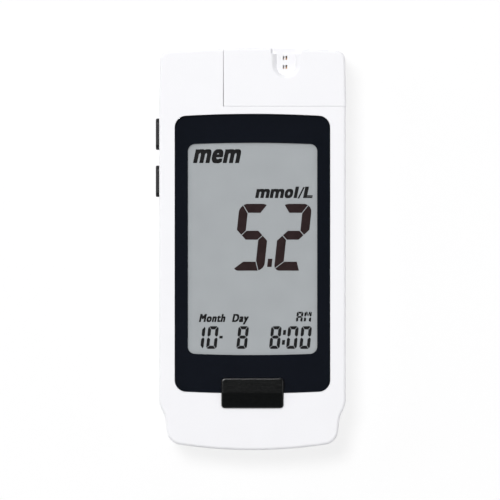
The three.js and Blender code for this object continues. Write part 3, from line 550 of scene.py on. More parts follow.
def front_shell():
    shell = loft(front_rings(PARTING))
    cavity = cut(
        prism(rounded_outline(CASE, SIDE_WALL), PARTING - OVERRUN, PLATE_BOTTOM),
        block(HEAD_CORNER_X - SIDE_WALL, CASE_SIDE, HEAD_CORNER_Y - SIDE_WALL, CASE_TOP,
              PARTING - 2 * OVERRUN, PLATE_BOTTOM + OVERRUN))
    nose = block(
        NOSE_LEFT, NOSE_RIGHT, HEAD_CORNER_Y - SIDE_WALL, NOSE_END, PARTING, NOSE_TOP)
    mouth = block(
        STRIP_SLOT_LEFT, STRIP_SLOT_RIGHT, NOSE_INNER_END - OVERRUN, NOSE_END + OVERRUN,
        STRIP_SLOT_BOTTOM, STRIP_SLOT_TOP)
    pocket = flared(WINDOW, WINDOW_FIT, BORDER_BOTTOM, CASE_THICKNESS)
    display_hole = prism(
        rounded_outline(DISPLAY, -COVER_HOLE_MARGIN), PLATE_BOTTOM - OVERRUN, CASE_THICKNESS)
    cap_hole = flared(MAIN_CAP, CAP_FIT, PLATE_BOTTOM - OVERRUN, CASE_THICKNESS)
    side_holes = [
        at_side_button(flared(SIDE_CAP, SIDE_CAP_FIT, -OVERRUN, 0), place)
        for place in ("upper", "lower")
    ]
    shell = cut(shell, cavity)
    shell = cut(shell, flared(head_outline(-1), 0, PARTING - OVERRUN, CASE_THICKNESS))
    shell = cut(joined(shell, nose), nose_space(PARTING - OVERRUN, NOSE_CEILING))
    shell = cut(shell, pocket, display_hole, mouth, *head_rails(HEAD_RAIL_FIT))
    bosses = at_screws(SCREW_BOSS_RADIUS, PARTING, PLATE_BOTTOM)
    stops = at_screws(SCREW_BOSS_RADIUS + BOARD_STOP_REACH, BOARD_TOP, PLATE_BOTTOM)
    shell = joined(shell, *bosses, *stops)
    pilots = at_screws(
        SCREW_SHANK_RADIUS + SCREW_FIT, PARTING - OVERRUN,
        SCREW_SEAT_HEIGHT + SCREW_LENGTH + SCREW_FIT)
    return cut(shell, *pilots, cap_hole, *side_holes)


def back_shell():
    shell = loft(back_rings(PARTING))
    cavity = cut(
        prism(rounded_outline(CASE, SIDE_WALL), BACK_WALL, PARTING + OVERRUN),
        block(HEAD_CORNER_X - SIDE_WALL, CASE_SIDE, HEAD_CORNER_Y - SIDE_WALL, CASE_TOP,
              PARTING - NOSE_WALL, PARTING + 2 * OVERRUN))
    shell = cut(shell, cavity, nose_space(BACK_WALL, PARTING + OVERRUN))
    ribs = joined(
        block(-BAY_SIDE - BAY_RIB, BAY_SIDE + BAY_RIB, CASE_BOTTOM + SIDE_WALL, BAY_TOP + BAY_RIB,
              BACK_WALL, PARTING),
        block(-RAIL_SIDE - DOOR_FIT - BAY_RIB, RAIL_SIDE + DOOR_FIT + BAY_RIB,
              CASE_BOTTOM + SIDE_WALL, BAY_TOP + BAY_RIB, BACK_WALL, BACK_WALL + DOOR_FIT + BAY_RIB))
    ribs = cut(ribs, block(
        -BAY_SIDE, BAY_SIDE, CASE_BOTTOM + SIDE_WALL, BAY_TOP, -OVERRUN, PARTING + OVERRUN))
    ribs = met(ribs, prism(rounded_outline(CASE, SIDE_WALL / 2), BACK_WALL / 2, PARTING))
    bosses = at_screws(SCREW_HEAD_RADIUS + SCREW_FIT + BOSS_WALL, BACK_WALL / 2, PARTING)
    shell = joined(shell, ribs, *bosses)
    door_slot = block(
        -DOOR_SIDE - DOOR_FIT, DOOR_SIDE + DOOR_FIT, CASE_BOTTOM - OVERRUN, DOOR_END + DOOR_FIT,
        -OVERRUN, CELL_BOTTOM)
    rail_slot = block(
        -RAIL_SIDE - DOOR_FIT, RAIL_SIDE + DOOR_FIT, CASE_BOTTOM - OVERRUN, DOOR_END + DOOR_FIT,
        RAIL_BOTTOM - DOOR_FIT, BACK_WALL + DOOR_FIT)
    recesses = at_screws(SCREW_HEAD_RADIUS + SCREW_FIT, -OVERRUN, SCREW_SEAT_HEIGHT)
    shanks = at_screws(SCREW_SHANK_RADIUS + SCREW_FIT, 0, PARTING + OVERRUN)
    return cut(shell, door_slot, rail_slot, *recesses, *shanks)


def battery_cover():
    outline = rectangle(-DOOR_SIDE, DOOR_SIDE, CASE_BOTTOM - OVERRUN, DOOR_END, SMALLEST_RADIUS)
    panel = loft([
        (rounded_outline(outline, DOOR_BEVEL), 0),
        (rounded_outline(outline), DOOR_BEVEL),
        (rounded_outline(outline), BACK_WALL),
    ])
    rails = block(-RAIL_SIDE, RAIL_SIDE, CASE_BOTTOM - OVERRUN, DOOR_END, RAIL_BOTTOM, BACK_WALL)
    cover = met(loft(back_rings(PARTING)), joined(panel, rails))
    grooves = []
    for index in range(GRIP_COUNT):
        groove = prism(circle(GRIP_GROOVE / 2), -GRIP_WIDTH / 2, GRIP_WIDTH / 2)
        place = Matrix.Translation((0, CASE_BOTTOM + GRIP_FROM_END + index * GRIP_PITCH, 0))
        groove.data.transform(place @ Matrix.Rotation(math.pi / 2, 4, "Y"))
        grooves.append(groove)
    return cut(cover, *grooves)


# Strip head


def notch_cutter():
    """Scoop of the strip port: a round-ended floor whose walls rise steeply and round over."""
    outer_end = CASE_TOP - NOTCH_LENGTH
    outer = rounded_outline(rectangle(
        NOTCH_LEFT, NOTCH_RIGHT, outer_end, CASE_TOP + OVERRUN, NOTCH_RADIUS))
    inner = rounded_outline(rectangle(
        PORT_X - NOTCH_FLOOR_WIDTH / 2, PORT_X + NOTCH_FLOOR_WIDTH / 2,
        outer_end + NOTCH_END_SLOPE, CASE_TOP + OVERRUN, NOTCH_FLOOR_RADIUS))
    rings = []
    for step in range(EDGE_STEPS + 1):
        share = step / EDGE_STEPS
        points = [low.lerp(high, share) for low, high in zip(inner, outer)]
        rise = math.sin(math.pi / 2 * share)
        rings.append((points, SCOOP_FLOOR + (SCOOP_DEPTH + FLARE_LIFT) * rise))
    rings.append((outer, CASE_THICKNESS + OVERRUN))
    return loft(rings)


def port_windows():
    """Two openings in the scoop's floor, each parted into two slits by a thin rib."""
    left = PORT_X - PORT_WINDOW_WIDTH / 2 - PORT_WINDOW_SHIFT
    right = left + PORT_WINDOW_WIDTH
    rib = left + PORT_SLIT
    slits = []
    for index in range(PORT_WINDOW_COUNT):
        y = CASE_TOP - PORT_WINDOW_FROM_END - index * PORT_WINDOW_PITCH
        for near, far in ((left, rib), (rib + PORT_WINDOW_RIB, right)):
            corners = rectangle(
                near, far, y - PORT_WINDOW_LENGTH / 2, y + PORT_WINDOW_LENGTH / 2, PORT_WINDOW_RADIUS)
            slits.append(prism(
                rounded_outline(corners), STRIP_SLOT_TOP - STRIP_SLOT_HEIGHT / 2, CASE_THICKNESS))
    return slits


def strip_cover():
    """Strip head: a sleeve for the nose, then a block with the slot and the scoop."""
    zone = head_outline(1)
    cover = met(loft(front_rings(HEAD_BOTTOM, HEAD_PROUD)), loft([
        (rounded_outline(zone), HEAD_BOTTOM - OVERRUN),
        *edge_rings(zone, EDGE_FLARE, CASE_THICKNESS + FLARE_LIFT, FLARE_STEPS),
    ]))
    sleeve = block(
        HEAD_LEFT + HEAD_WALL, CASE_SIDE - SIDE_WALL, HEAD_FOOT - OVERRUN, NOSE_END + NOSE_FIT,
        HEAD_BOTTOM - OVERRUN, HEAD_CEILING)
    block_start = NOSE_END + NOSE_FIT + HEAD_BLOCK_WALL
    pockets = [
        met(block(left, right, block_start, CASE_TOP, HEAD_BOTTOM - OVERRUN, HEAD_CEILING),
            prism(rounded_outline(CASE, SIDE_WALL), HEAD_BOTTOM - 2 * OVERRUN, HEAD_CEILING + OVERRUN))
        for left, right in (
            (HEAD_LEFT + HEAD_WALL, STRIP_SLOT_LEFT - SLOT_CHEEK),
            (STRIP_SLOT_RIGHT + SLOT_CHEEK, CASE_SIDE),
        )
    ]
    slot = block(
        STRIP_SLOT_LEFT, STRIP_SLOT_RIGHT, NOSE_END, CASE_TOP + OVERRUN,
        STRIP_SLOT_BOTTOM, STRIP_SLOT_TOP)
    lip = block(
        NOTCH_LEFT, NOTCH_RIGHT, CASE_TOP - LIP_LENGTH, CASE_TOP + OVERRUN,
        CASE_THICKNESS - LIP_DEPTH, CASE_THICKNESS + OVERRUN)
    hollow = block(
        STRIP_SLOT_LEFT, STRIP_SLOT_RIGHT, NOSE_END, CASE_TOP - LIP_LENGTH, STRIP_SLOT_BOTTOM,
        SCOOP_FLOOR - NOTCH_FLOOR_THICKNESS)
    cover = cut(cover, sleeve, *pockets, slot, lip, hollow)
    cover = cut(cover, notch_cutter(), *port_windows())
    return joined(cover, *head_rails(0))


# Window


def window_pane():
    """Pane with a rounded edge; the ring inside the edge keeps its large face flat."""
    pane = loft([
        (rounded_outline(WINDOW), PANE_BOTTOM),
        *edge_rings(WINDOW, PANE_BEVEL, PANE_TOP, FLARE_STEPS),
        (rounded_outline(WINDOW, PANE_RIM), PANE_TOP),
    ])
    return cut(pane, flared(MAIN_CAP, CAP_FIT, PANE_BOTTOM - OVERRUN, PANE_TOP, PANE_BEVEL))


def border_print():
    sheet = prism(rounded_outline(WINDOW), BORDER_BOTTOM + PRINT_GAP, PANE_BOTTOM - PRINT_GAP)
    low, high = BORDER_BOTTOM - OVERRUN, PANE_BOTTOM + OVERRUN
    return cut(
        sheet, prism(rounded_outline(DISPLAY), low, high),
        prism(rounded_outline(MAIN_CAP, -CAP_FIT), low, high))


# Buttons


def main_roof(y):
    """Height of the button's top, which falls from a softly rounded crease to its lower edge."""
    half = MAIN_CAP_LENGTH / 2
    below = MAIN_CAP_Y - y
    fall = (math.hypot(below, MAIN_CREASE) + below) / 2
    return MAIN_RIDGE - MAIN_CAP_SLOPE * fall / half


def cap_chain(inset):
    """Right half of the button's outline, bottom to top, with points beside the crease."""
    points = rounded_outline(MAIN_CAP, inset)
    quarter = len(points) // 4
    lower, upper = points[quarter:2 * quarter], points[2 * quarter:3 * quarter]
    shares = (*(-share for share in CREASE_SHARES[::-1]), *CREASE_SHARES)
    creases = [Vector((lower[-1].x, MAIN_CAP_Y + MAIN_CREASE * share)) for share in shares]
    return lower + creases + upper


def main_button_cap():
    """Cap with rounded edges, its lower half sloping down, on a flange that keeps it in the case."""
    flange_top = MAIN_FLANGE_BOTTOM + MAIN_FLANGE_THICKNESS
    chains = [[(x, y, flange_top - MAIN_CAP_EDGE) for x, y in cap_chain(0)]]
    for way_in, left_to_rise in edge_shares(EDGE_STEPS):
        points = cap_chain(MAIN_CAP_EDGE * way_in)
        chains.append([(x, y, main_roof(y) - MAIN_CAP_EDGE * left_to_rise) for x, y in points])
    bm = bmesh.new()
    levels = []
    for chain in chains:
        right = [bm.verts.new(point) for point in chain]
        left = [bm.verts.new((-vert.co.x, vert.co.y, vert.co.z)) for vert in right]
        levels.append(right + left[::-1])
    add_walls(bm, levels)
    last = levels[-1]
    for index in range(len(last) // 2 - 1):
        bm.faces.new((last[index], last[index + 1], last[-index - 2], last[-index - 1]))
    bm.faces.new(levels[0][::-1])
    flange = prism(rounded_outline(MAIN_CAP, -MAIN_FLANGE_REACH), MAIN_FLANGE_BOTTOM, flange_top)
    return joined(object_from(bm), flange)


def side_button_cap(place):
    flange_outer = -SIDE_WALL - FLANGE_GAP
    flange = prism(
        rounded_outline(SIDE_CAP, -SIDE_FLANGE_REACH), flange_outer - SIDE_FLANGE_THICKNESS, flange_outer)
    cap = loft([
        (rounded_outline(SIDE_CAP), flange_outer - SMALLEST_RADIUS),
        *edge_rings(SIDE_CAP, SIDE_CAP_EDGE, SIDE_CAP_PROUD, EDGE_STEPS),
    ])
    return at_side_button(joined(cap, flange), place)


# Display digits, built of separate bars as on a real segment display: tip is how far the middle
# bar's points stay off the sides, a mitre how far from a corner the bars that meet there part
Digit = namedtuple(
    "Digit", "width height middle top_bar middle_bar bottom_bar side_bar gap slant tip "
    "top_mitre right_mitre left_mitre top_radius right_radius left_radius")
READING = Digit(
    width=7.575, height=16.15, middle=8.56, top_bar=2.17, middle_bar=2.15, bottom_bar=2.17,
    side_bar=2.175, gap=0.17, slant=0.105, tip=1.18, top_mitre=0.68, right_mitre=1.42,
    left_mitre=0.39, top_radius=2.1, right_radius=1.9, left_radius=1.4)
CLOCK = Digit(
    width=2.555, height=5.48, middle=2.845, top_bar=0.77, middle_bar=0.77, bottom_bar=0.77,
    side_bar=0.77, gap=0.1, slant=0.103, tip=0.34, top_mitre=0.22, right_mitre=0.22,
    left_mitre=0.22, top_radius=0.7, right_radius=0.65, left_radius=0.6)
LETTER = Digit(
    width=1.57, height=2.46, middle=1.2, top_bar=0.45, middle_bar=0.44, bottom_bar=0.15,
    side_bar=0.52, gap=0.07, slant=0.12, tip=0.2, top_mitre=0.1, right_mitre=0.06,
    left_mitre=0.06, top_radius=0.35, right_radius=0.08, left_radius=0.08)
WIDE_LETTER = LETTER._replace(width=1.73, top_radius=0.2)
BARS_ON = {
    "0": "abcdef", "1": "bc", "2": "abdeg", "5": "acdfg", "8": "abcdefg", "A": "abcefg", "M": "bcef"}

# Each digit with its left end, and each small mark by its left, right, bottom and top
READING_BASE = -5.2
READING_DIGITS = (("5", -4.8), ("2", 5.153))
READING_MARKS = ((3.53, 4.61, -4.3, -2.31),)
CLOCK_BASE = -24.094
CLOCK_DIGITS = (
    ("1", -14.42), ("0", -11.237), ("8", -3.945), ("8", 3.977), ("0", 8.083), ("0", 11.274))
CLOCK_MARKS = (
    (-8.03, -7.23, -21.58, -20.95),
    (7.325, 8.025, -20.73, -19.53),
    (7.06, 7.76, -23.1, -21.94),
)
NOON_BASE = -17.58
NOON_A_LEFT = 10.46
NOON_M_LEFT = 12.346
PEAK_DEPTH = 1.15
PEAK_BAR = 0.38
INK_THICKNESS = 0.02


def clipped(points, start, end, gap=0.0):
    """The part of a convex outline that lies left of the line from start to end, less the gap."""
    along = (Vector(end) - Vector(start)).normalized()
    leftward = Vector((-along.y, along.x))
    depths = [(Vector(point) - Vector(start)).dot(leftward) - gap for point in points]
    kept = []
    for index, point in enumerate(points):
        before = depths[index - 1]
        if (before < 0) != (depths[index] < 0):
            share = before / (before - depths[index])
            kept.append(Vector(points[index - 1]).lerp(Vector(point), share))
        if depths[index] >= 0:
            kept.append(Vector(point))
    return kept


def bar_outlines(digit):
    """Outline of each bar of an upright digit, under the letters a to g that such bars go by."""
    width, height, middle = digit.width, digit.height, digit.middle
    left_in, right_in = digit.side_bar, width - digit.side_bar
    top_in, bottom_in = height - digit.top_bar, digit.bottom_bar
    reach = digit.middle_bar / 2
    above, below = middle + reach, middle - reach
    near, far = digit.tip + reach, width - digit.tip - reach
    left_tip, right_tip = (digit.tip, middle), (width - digit.tip, middle)
    top_left = ((digit.top_mitre, height), (left_in, top_in))
    top_right = ((right_in, top_in), (width - digit.top_mitre, height))
    low_left = ((left_in, bottom_in), (0, digit.left_mitre))
    low_right = ((right_in, bottom_in), (width - digit.right_mitre, 0))
    inner_right = ((right_in, height), (right_in, 0))
    inner_left = ((left_in, 0), (left_in, height))
    b_foot = ((right_tip, (width, middle + digit.tip)), ((far, above), right_tip))
    c_head = (((width, middle - digit.tip), right_tip), (right_tip, (far, below)))
    e_head = ((left_tip, (0, middle - digit.tip)), ((near, below), left_tip))
    f_foot = (((0, middle + digit.tip), left_tip), (left_tip, (near, above)))
    g_left = (((near, above), left_tip), (left_tip, (near, below)))
    g_right = (((far, below), right_tip), (right_tip, (far, above)))
    limits = {
        "a": (((0, top_in), (width, top_in)), top_left, top_right),
        "b": (inner_right, top_right[::-1], *b_foot),
        "c": (inner_right, low_right, *c_head),
        "d": (((width, bottom_in), (0, bottom_in)), low_left, low_right[::-1]),
        "e": (inner_left, low_left[::-1], *e_head),
        "f": (inner_left, top_left[::-1], *f_foot),
        "g": (((width, above), (0, above)), ((0, below), (width, below)), *g_left, *g_right),
    }
    whole = rounded_outline([
        Corner(0, 0, digit.left_radius), Corner(width, 0, digit.right_radius),
        Corner(width, height, digit.top_radius), Corner(0, height, digit.top_radius)])
    outlines = {}
    for letter, (first, *others) in limits.items():
        outline = clipped(whole, *first)
        for start, end in others:
            outline = clipped(outline, start, end, 0 if start[1] == end[1] else digit.gap / 2)
        outlines[letter] = outline
    return outlines


def slanted(points, slant, base):
    return [(x + slant * (y - base), y) for x, y in points]


def digit_shapes(digit, character, left, base):
    outlines = bar_outlines(digit)
    return [
        slanted([(left + x, base + y) for x, y in outlines[letter]], digit.slant, base)
        for letter in BARS_ON[character]
    ]


def mark_shape(digit, left, right, bottom, top):
    """Small slanted rectangle, such as a decimal point."""
    return slanted([(left, bottom), (right, bottom), (right, top), (left, top)], digit.slant, bottom)


def ink(shapes):
    """Thin closed plates with these outlines, lying on the display glass."""
    bm = bmesh.new()
    for points in shapes:
        add_loft(bm, [(points, IMAGE_HEIGHT), (points, IMAGE_HEIGHT + INK_THICKNESS)])
    return object_from(bm)


def numbers(digit, base, characters, marks):
    """Digits of one kind on one base line, with their point, dash or colon."""
    shapes = [mark_shape(digit, *mark) for mark in marks]
    for character, left in characters:
        shapes += digit_shapes(digit, character, left, base)
    return ink(shapes)


def peak_shapes(digit, left, base):
    """The two short slanted bars between the upright bars of an M."""
    middle, top, half_gap = left + digit.width / 2, base + digit.height, digit.gap / 2
    shapes = []
    for side in (-1, 1):
        points = (
            (middle + side * (digit.width / 2 - digit.side_bar / 2), top),
            (middle + side * half_gap, top - PEAK_DEPTH),
            (middle + side * half_gap, top - PEAK_DEPTH + PEAK_BAR),
            (middle + side * (digit.width / 2 - digit.side_bar / 2 - PEAK_BAR), top),
        )
        shapes.append(slanted(points[::-side], digit.slant, base))
    return shapes


def morning():
    return ink([
        *digit_shapes(LETTER, "A", NOON_A_LEFT, NOON_BASE),
        *digit_shapes(WIDE_LETTER, "M", NOON_M_LEFT, NOON_BASE),
        *peak_shapes(WIDE_LETTER, NOON_M_LEFT, NOON_BASE),
    ])


# Words on the display: ends and base of the word set upright, height of the letter used as ruler,
# how far its letters stand apart, and how far its strokes grow to each side, along and up
Words = namedtuple("Words", "text left right base height ruler slant spacing stem_growth bar_growth")
WORDS = (
    Words("mem", -14.38, -3.25, 20.8, 3.31, "x", 0.21, 1.1, 0.26, 0.18),
    Words("mm", 0.62, 7.4, 12.35, 2.18, "x", 0.2, 1.04, 0.21, 0.14),
    Words("o", 7.58, 9.6, 12.35, 2.18, "x", 0.2, 1, 0.2, 0.14),
    Words("l", 9.9, 10.72, 12.35, 2.76, "l", 0.2, 1, 0.23, 0.13),
    Words("L", 12.2, 14.44, 12.35, 2.76, "L", 0.2, 1, 0.24, 0.18),
    Words("Month", -12.95, -6.72, -17.6, 1.94, "M", 0.2, 1.18, 0.13, 0.09),
    Words("Day", -4.97, -1.12, -17.6, 1.94, "D", 0.2, 1.18, 0.13, 0.09),
)
SLASH = (10.87, 12.66, 12.24, 15.01)
SLASH_WIDTH = 0.41


def text_shape(text, spacing=1.0):
    """Upright block of plain letters on their baseline."""
    curve = bpy.data.curves.new("text", "FONT")
    curve.body = text
    curve.space_character = spacing
    curve.resolution_u = LETTER_STEPS
    curve.extrude = 1 / 2
    source = holder("text", curve)
    mesh = evaluated_mesh(source)
    bm = bmesh.new()
    bm.from_mesh(mesh)
    bpy.data.meshes.remove(mesh)
    bpy.data.objects.remove(source)
    return object_from(bm)


def extent(shape, axis):
    values = [vertex.co[axis] for vertex in shape.data.vertices]
    return min(values), max(values)


def thickened(shape, along, up):
    """The shape joined with copies of itself that are shifted to all sides."""
    copies = []
    for x in (-along, 0, along):
        for y in (-up, up):
            copy = holder("copy", shape.data.copy())
            copy.data.transform(Matrix.Translation((x, y, 0)))
            copies.append(copy)
    bpy.data.objects.remove(shape)
    return joined(*copies, solver="MANIFOLD")


def display_words(words):
    """Plain letters set to the word's height and ends, then thickened and slanted."""
    ruler = text_shape(words.ruler)
    low, high = extent(ruler, 1)
    bpy.data.objects.remove(ruler)
    shape = text_shape(words.text, words.spacing)
    left, right = extent(shape, 0)
    rise = (words.height - 2 * words.bar_growth) / (high - low)
    stretch = (words.right - words.left - 2 * words.stem_growth) / (right - left)
    place = Matrix.Translation((
        words.left + words.stem_growth - left * stretch,
        words.base + words.bar_growth - low * rise,
        IMAGE_HEIGHT + INK_THICKNESS / 2))
    shape.data.transform(place @ Matrix.Diagonal((stretch, rise, INK_THICKNESS, 1)))
    shape = thickened(shape, words.stem_growth, words.bar_growth)
    lean = Matrix.Identity(4)
    lean[0][1], lean[0][3] = words.slant, -words.slant * words.base
    shape.data.transform(lean)
    return shape


def slash():
    left, right, bottom, top = SLASH
    return ink([[
        (left, bottom), (left + SLASH_WIDTH, bottom), (right, top), (right - SLASH_WIDTH, top)]])


# Materials

NOISE_LOW_SHARE = 0.3
NOISE_HIGH_SHARE = 0.7
PATCH_DETAIL = 2.0
GRAIN_DETAIL = 4.0
PLAIN_GLOSS = 0.5
PANE_INDEX = 1.49
PANE_ROUGHNESS = 0.03
PANE_TINT = (0.985, 0.99, 0.99)


def worked(tree, operation, *values):
    """Result of a math node on sockets and plain numbers."""
    node = tree.nodes.new("ShaderNodeMath")
    node.operation = operation
    for socket, value in zip(node.inputs, values):
        if isinstance(value, bpy.types.NodeSocket):
            tree.links.new(value, socket)
        else:
            socket.default_value = value
    return node.outputs["Value"]


def ranged(tree, value, from_low, from_high, low, high):
    """The value's span from from_low to from_high, taken to the span from low to high."""
    ramp = tree.nodes.new("ShaderNodeMapRange")
    limits = {"From Min": from_low, "From Max": from_high, "To Min": low, "To Max": high}
    for name, limit in limits.items():
        ramp.inputs[name].default_value = limit
    tree.links.new(value, ramp.inputs["Value"])
    return ramp.outputs["Result"]


def mixed(tree, factor, first, second):
    """Shader that passes from the first to the second as the factor grows."""
    mix = tree.nodes.new("ShaderNodeMixShader")
    for source, socket in zip((factor, first, second), mix.inputs):
        tree.links.new(source, socket)
    return mix.outputs["Shader"]


def noise(tree, size, detail):
    """Noise whose patches are about size millimetres across."""
    place = tree.nodes.new("ShaderNodeTexCoord")
    pattern = tree.nodes.new("ShaderNodeTexNoise")
    pattern.inputs["Scale"].default_value = 1 / (size * MM)
    pattern.inputs["Detail"].default_value = detail
    tree.links.new(place.outputs["Object"], pattern.inputs["Vector"])
    return pattern.outputs["Fac"]


def bumped(tree, shader, relief, depth):
    """Bump of the relief, depth millimetres deep."""
    bump = tree.nodes.new("ShaderNodeBump")
    bump.inputs["Distance"].default_value = depth * MM
    tree.links.new(relief, bump.inputs["Height"])
    tree.links.new(bump.outputs["Normal"], shader.inputs["Normal"])


def surface(name, dark, light, roughness, patch, grain, depth, gloss=PLAIN_GLOSS, metallic=0):
    """Opaque material: colour and gloss wander in patches, over a fine grain; sizes in millimetres."""
    material = bpy.data.materials.new(name)
    material.use_nodes = True
    tree = material.node_tree
    shader = tree.nodes["Principled BSDF"]
    shader.inputs["Metallic"].default_value = metallic
    shader.inputs["Specular IOR Level"].default_value = gloss
    patches = noise(tree, patch, PATCH_DETAIL)
    tint = tree.nodes.new("ShaderNodeMix")
    tint.data_type = "RGBA"
    tint.inputs["A"].default_value = (*dark, 1)
    tint.inputs["B"].default_value = (*light, 1)
    share = ranged(tree, patches, NOISE_LOW_SHARE, NOISE_HIGH_SHARE, 0, 1)
    tree.links.new(share, tint.inputs["Factor"])
    tree.links.new(tint.outputs["Result"], shader.inputs["Base Color"])
    uneven = ranged(tree, patches, NOISE_LOW_SHARE, NOISE_HIGH_SHARE, *roughness)
    tree.links.new(uneven, shader.inputs["Roughness"])
    bumped(tree, shader, noise(tree, grain, GRAIN_DETAIL), depth)
    return material


def clear_pane():
    """Clear acrylic that lets lamps reach the display and mirrors at its outer face."""
    material = bpy.data.materials.new("clear_pane")
    material.use_nodes = True
    tree = material.node_tree
    nodes = tree.nodes
    nodes.remove(nodes["Principled BSDF"])
    see = nodes.new("ShaderNodeBsdfTransparent")
    see.inputs["Color"].default_value = (*PANE_TINT, 1)
    mirror = nodes.new("ShaderNodeBsdfGlossy")
    mirror.inputs["Roughness"].default_value = PANE_ROUGHNESS
    bend = nodes.new("ShaderNodeFresnel")
    bend.inputs["IOR"].default_value = PANE_INDEX
    facing = nodes.new("ShaderNodeNewGeometry")
    outside = worked(tree, "SUBTRACT", 1, facing.outputs["Backfacing"])
    share = worked(tree, "MULTIPLY", outside, bend.outputs["Fac"])
    pane = mixed(tree, share, see.outputs["BSDF"], mirror.outputs["BSDF"])
    tree.links.new(pane, nodes["Material Output"].inputs["Surface"])
    return material


SURFACES = {
    "case_white": dict(
        dark=(0.85, 0.85, 0.874), light=(0.865, 0.865, 0.889),
        roughness=(0.44, 0.52), patch=9, grain=0.35, depth=0.004, gloss=0.25),
    "button_black": dict(
        dark=(0.001, 0.0014, 0.0016), light=(0.002, 0.0026, 0.0028),
        roughness=(0.14, 0.19), patch=0.6, grain=0.16, depth=0.01, gloss=0.45),
    "side_button_black": dict(
        dark=(0.0022, 0.0024, 0.0038), light=(0.0034, 0.0036, 0.0052),
        roughness=(0.45, 0.55), patch=0.6, grain=0.16, depth=0.01, gloss=0.28),
    "border_ink": dict(
        dark=(0.0042, 0.0058, 0.0102), light=(0.0052, 0.0068, 0.0117),
        roughness=(0.4, 0.5), patch=12, grain=0.5, depth=0.001, gloss=0),
    "display_grey": dict(
        dark=(0.41, 0.424, 0.441), light=(0.43, 0.446, 0.462),
        roughness=(0.4, 0.5), patch=7, grain=0.2, depth=0.001, gloss=0),
    "display_ink": dict(
        dark=(0.026, 0.015, 0.0155), light=(0.033, 0.0195, 0.02),
        roughness=(0.5, 0.6), patch=1.5, grain=0.3, depth=0.001, gloss=0),
    "word_ink": dict(
        dark=(0.0145, 0.014, 0.0145), light=(0.0175, 0.017, 0.0175),
        roughness=(0.5, 0.6), patch=1.5, grain=0.3, depth=0.001, gloss=0),
    "reflector": dict(
        dark=(0.58, 0.59, 0.59), light=(0.62, 0.63, 0.63),
        roughness=(0.3, 0.4), patch=3, grain=0.1, depth=0.002, metallic=1),
    "foam_seal": dict(
        dark=(0.02, 0.02, 0.022), light=(0.04, 0.04, 0.042),
        roughness=(0.85, 0.95), patch=0.5, grain=0.12, depth=0.06),
    "inner_black": dict(
        dark=(0.026, 0.026, 0.028), light=(0.034, 0.034, 0.036),
        roughness=(0.45, 0.55), patch=3, grain=0.2, depth=0.01),
    "soft_grey": dict(
        dark=(0.11, 0.11, 0.12), light=(0.13, 0.13, 0.14),
        roughness=(0.6, 0.7), patch=2, grain=0.2, depth=0.01),
    "board_green": dict(
        dark=(0.012, 0.09, 0.04), light=(0.022, 0.14, 0.06),
        roughness=(0.3, 0.4), patch=2.5, grain=0.4, depth=0.01),
    "chip_black": dict(
        dark=(0.012, 0.012, 0.013), light=(0.018, 0.018, 0.019),
        roughness=(0.55, 0.65), patch=1.5, grain=0.12, depth=0.01),
    "steel": dict(
        dark=(0.52, 0.53, 0.54), light=(0.58, 0.59, 0.6),
        roughness=(0.25, 0.38), patch=1.2, grain=0.1, depth=0.003, metallic=1),
    "cell_steel": dict(
        dark=(0.58, 0.59, 0.6), light=(0.63, 0.64, 0.65),
        roughness=(0.18, 0.3), patch=4, grain=0.15, depth=0.002, metallic=1),
    "buzzer_brass": dict(
        dark=(0.55, 0.38, 0.13), light=(0.63, 0.45, 0.17),
        roughness=(0.25, 0.38), patch=2, grain=0.15, depth=0.003, metallic=1),
    "contact_copper": dict(
        dark=(0.6, 0.36, 0.22), light=(0.72, 0.45, 0.3),
        roughness=(0.25, 0.4), patch=0.8, grain=0.1, depth=0.004, metallic=1),
    "floor_white": dict(
        dark=(0.94, 0.94, 0.945), light=(0.95, 0.95, 0.955),
        roughness=(0.8, 0.9), patch=40, grain=3, depth=0.002, gloss=0),
}
MATERIALS = {name: surface(name, **look) for name, look in SURFACES.items()}
MATERIALS["clear_pane"] = clear_pane()

# The pieces


def finished(piece, name, body, slot, finish, *nodes):
    """Turns a shape in millimetres into a smooth, finished piece that rides on its body."""
    piece.name = name
    piece.data.name = name
    piece.data.transform(Matrix.Scale(MM, 4))
    bm = bmesh.new()
    bm.from_mesh(piece.data)
    bmesh.ops.recalc_face_normals(bm, faces=bm.faces)
    for face in bm.faces:
        face.smooth = abs(face.normal.z) < FLAT_SHARE
    for edge in bm.edges:
        edge.smooth = edge.calc_face_angle(0) < SMOOTH_ANGLE
    bm.to_mesh(piece.data)
    bm.free()
    weighted = piece.modifiers.new("even_faces", "WEIGHTED_NORMAL")
    weighted.keep_sharp = True
    weighted.weight = FULL_WEIGHT
    piece.data.materials.clear()
    piece.data.materials.append(MATERIALS[finish])
    if nodes:
        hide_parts(*nodes)
    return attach(piece, body)


finished(front_shell(), "front_shell", "body", "case_white", "case_white", "front_case")
finished(back_shell(), "back_shell", "body", "case_white", "case_white", "back_case")
finished(strip_cover(), "strip_cover", "head", "case_white", "case_white", "strip_head")
finished(battery_cover(), "battery_cover", "door", "case_white", "case_white", "battery_door")
finished(window_pane(), "window_pane", "body", "clear_pane", "clear_pane", "display_lens")
finished(border_print(), "border_print", "body", "border_ink", "border_ink", "lens_mask")
finished(
    main_button_cap(), "main_button_cap", "front_button", "button_black", "button_black", "main_button")
for place in ("upper", "lower"):
    finished(
        side_button_cap(place), f"side_cap_{place}", f"{place}_button", "button_black",
        "side_button_black", f"side_button_{place}")
finished(
    numbers(READING, READING_BASE, READING_DIGITS, READING_MARKS),
    "reading_digits", "body", None, "display_ink")
finished(
    numbers(CLOCK, CLOCK_BASE, CLOCK_DIGITS, CLOCK_MARKS), "clock_digits", "body", None, "word_ink")
finished(morning(), "morning_mark", "body", None, "word_ink")
finished(slash(), "unit_slash", "body", None, "word_ink")
for index, words in enumerate(WORDS):
    finished(display_words(words), f"display_words_{index + 1}", "body", None, "word_ink")

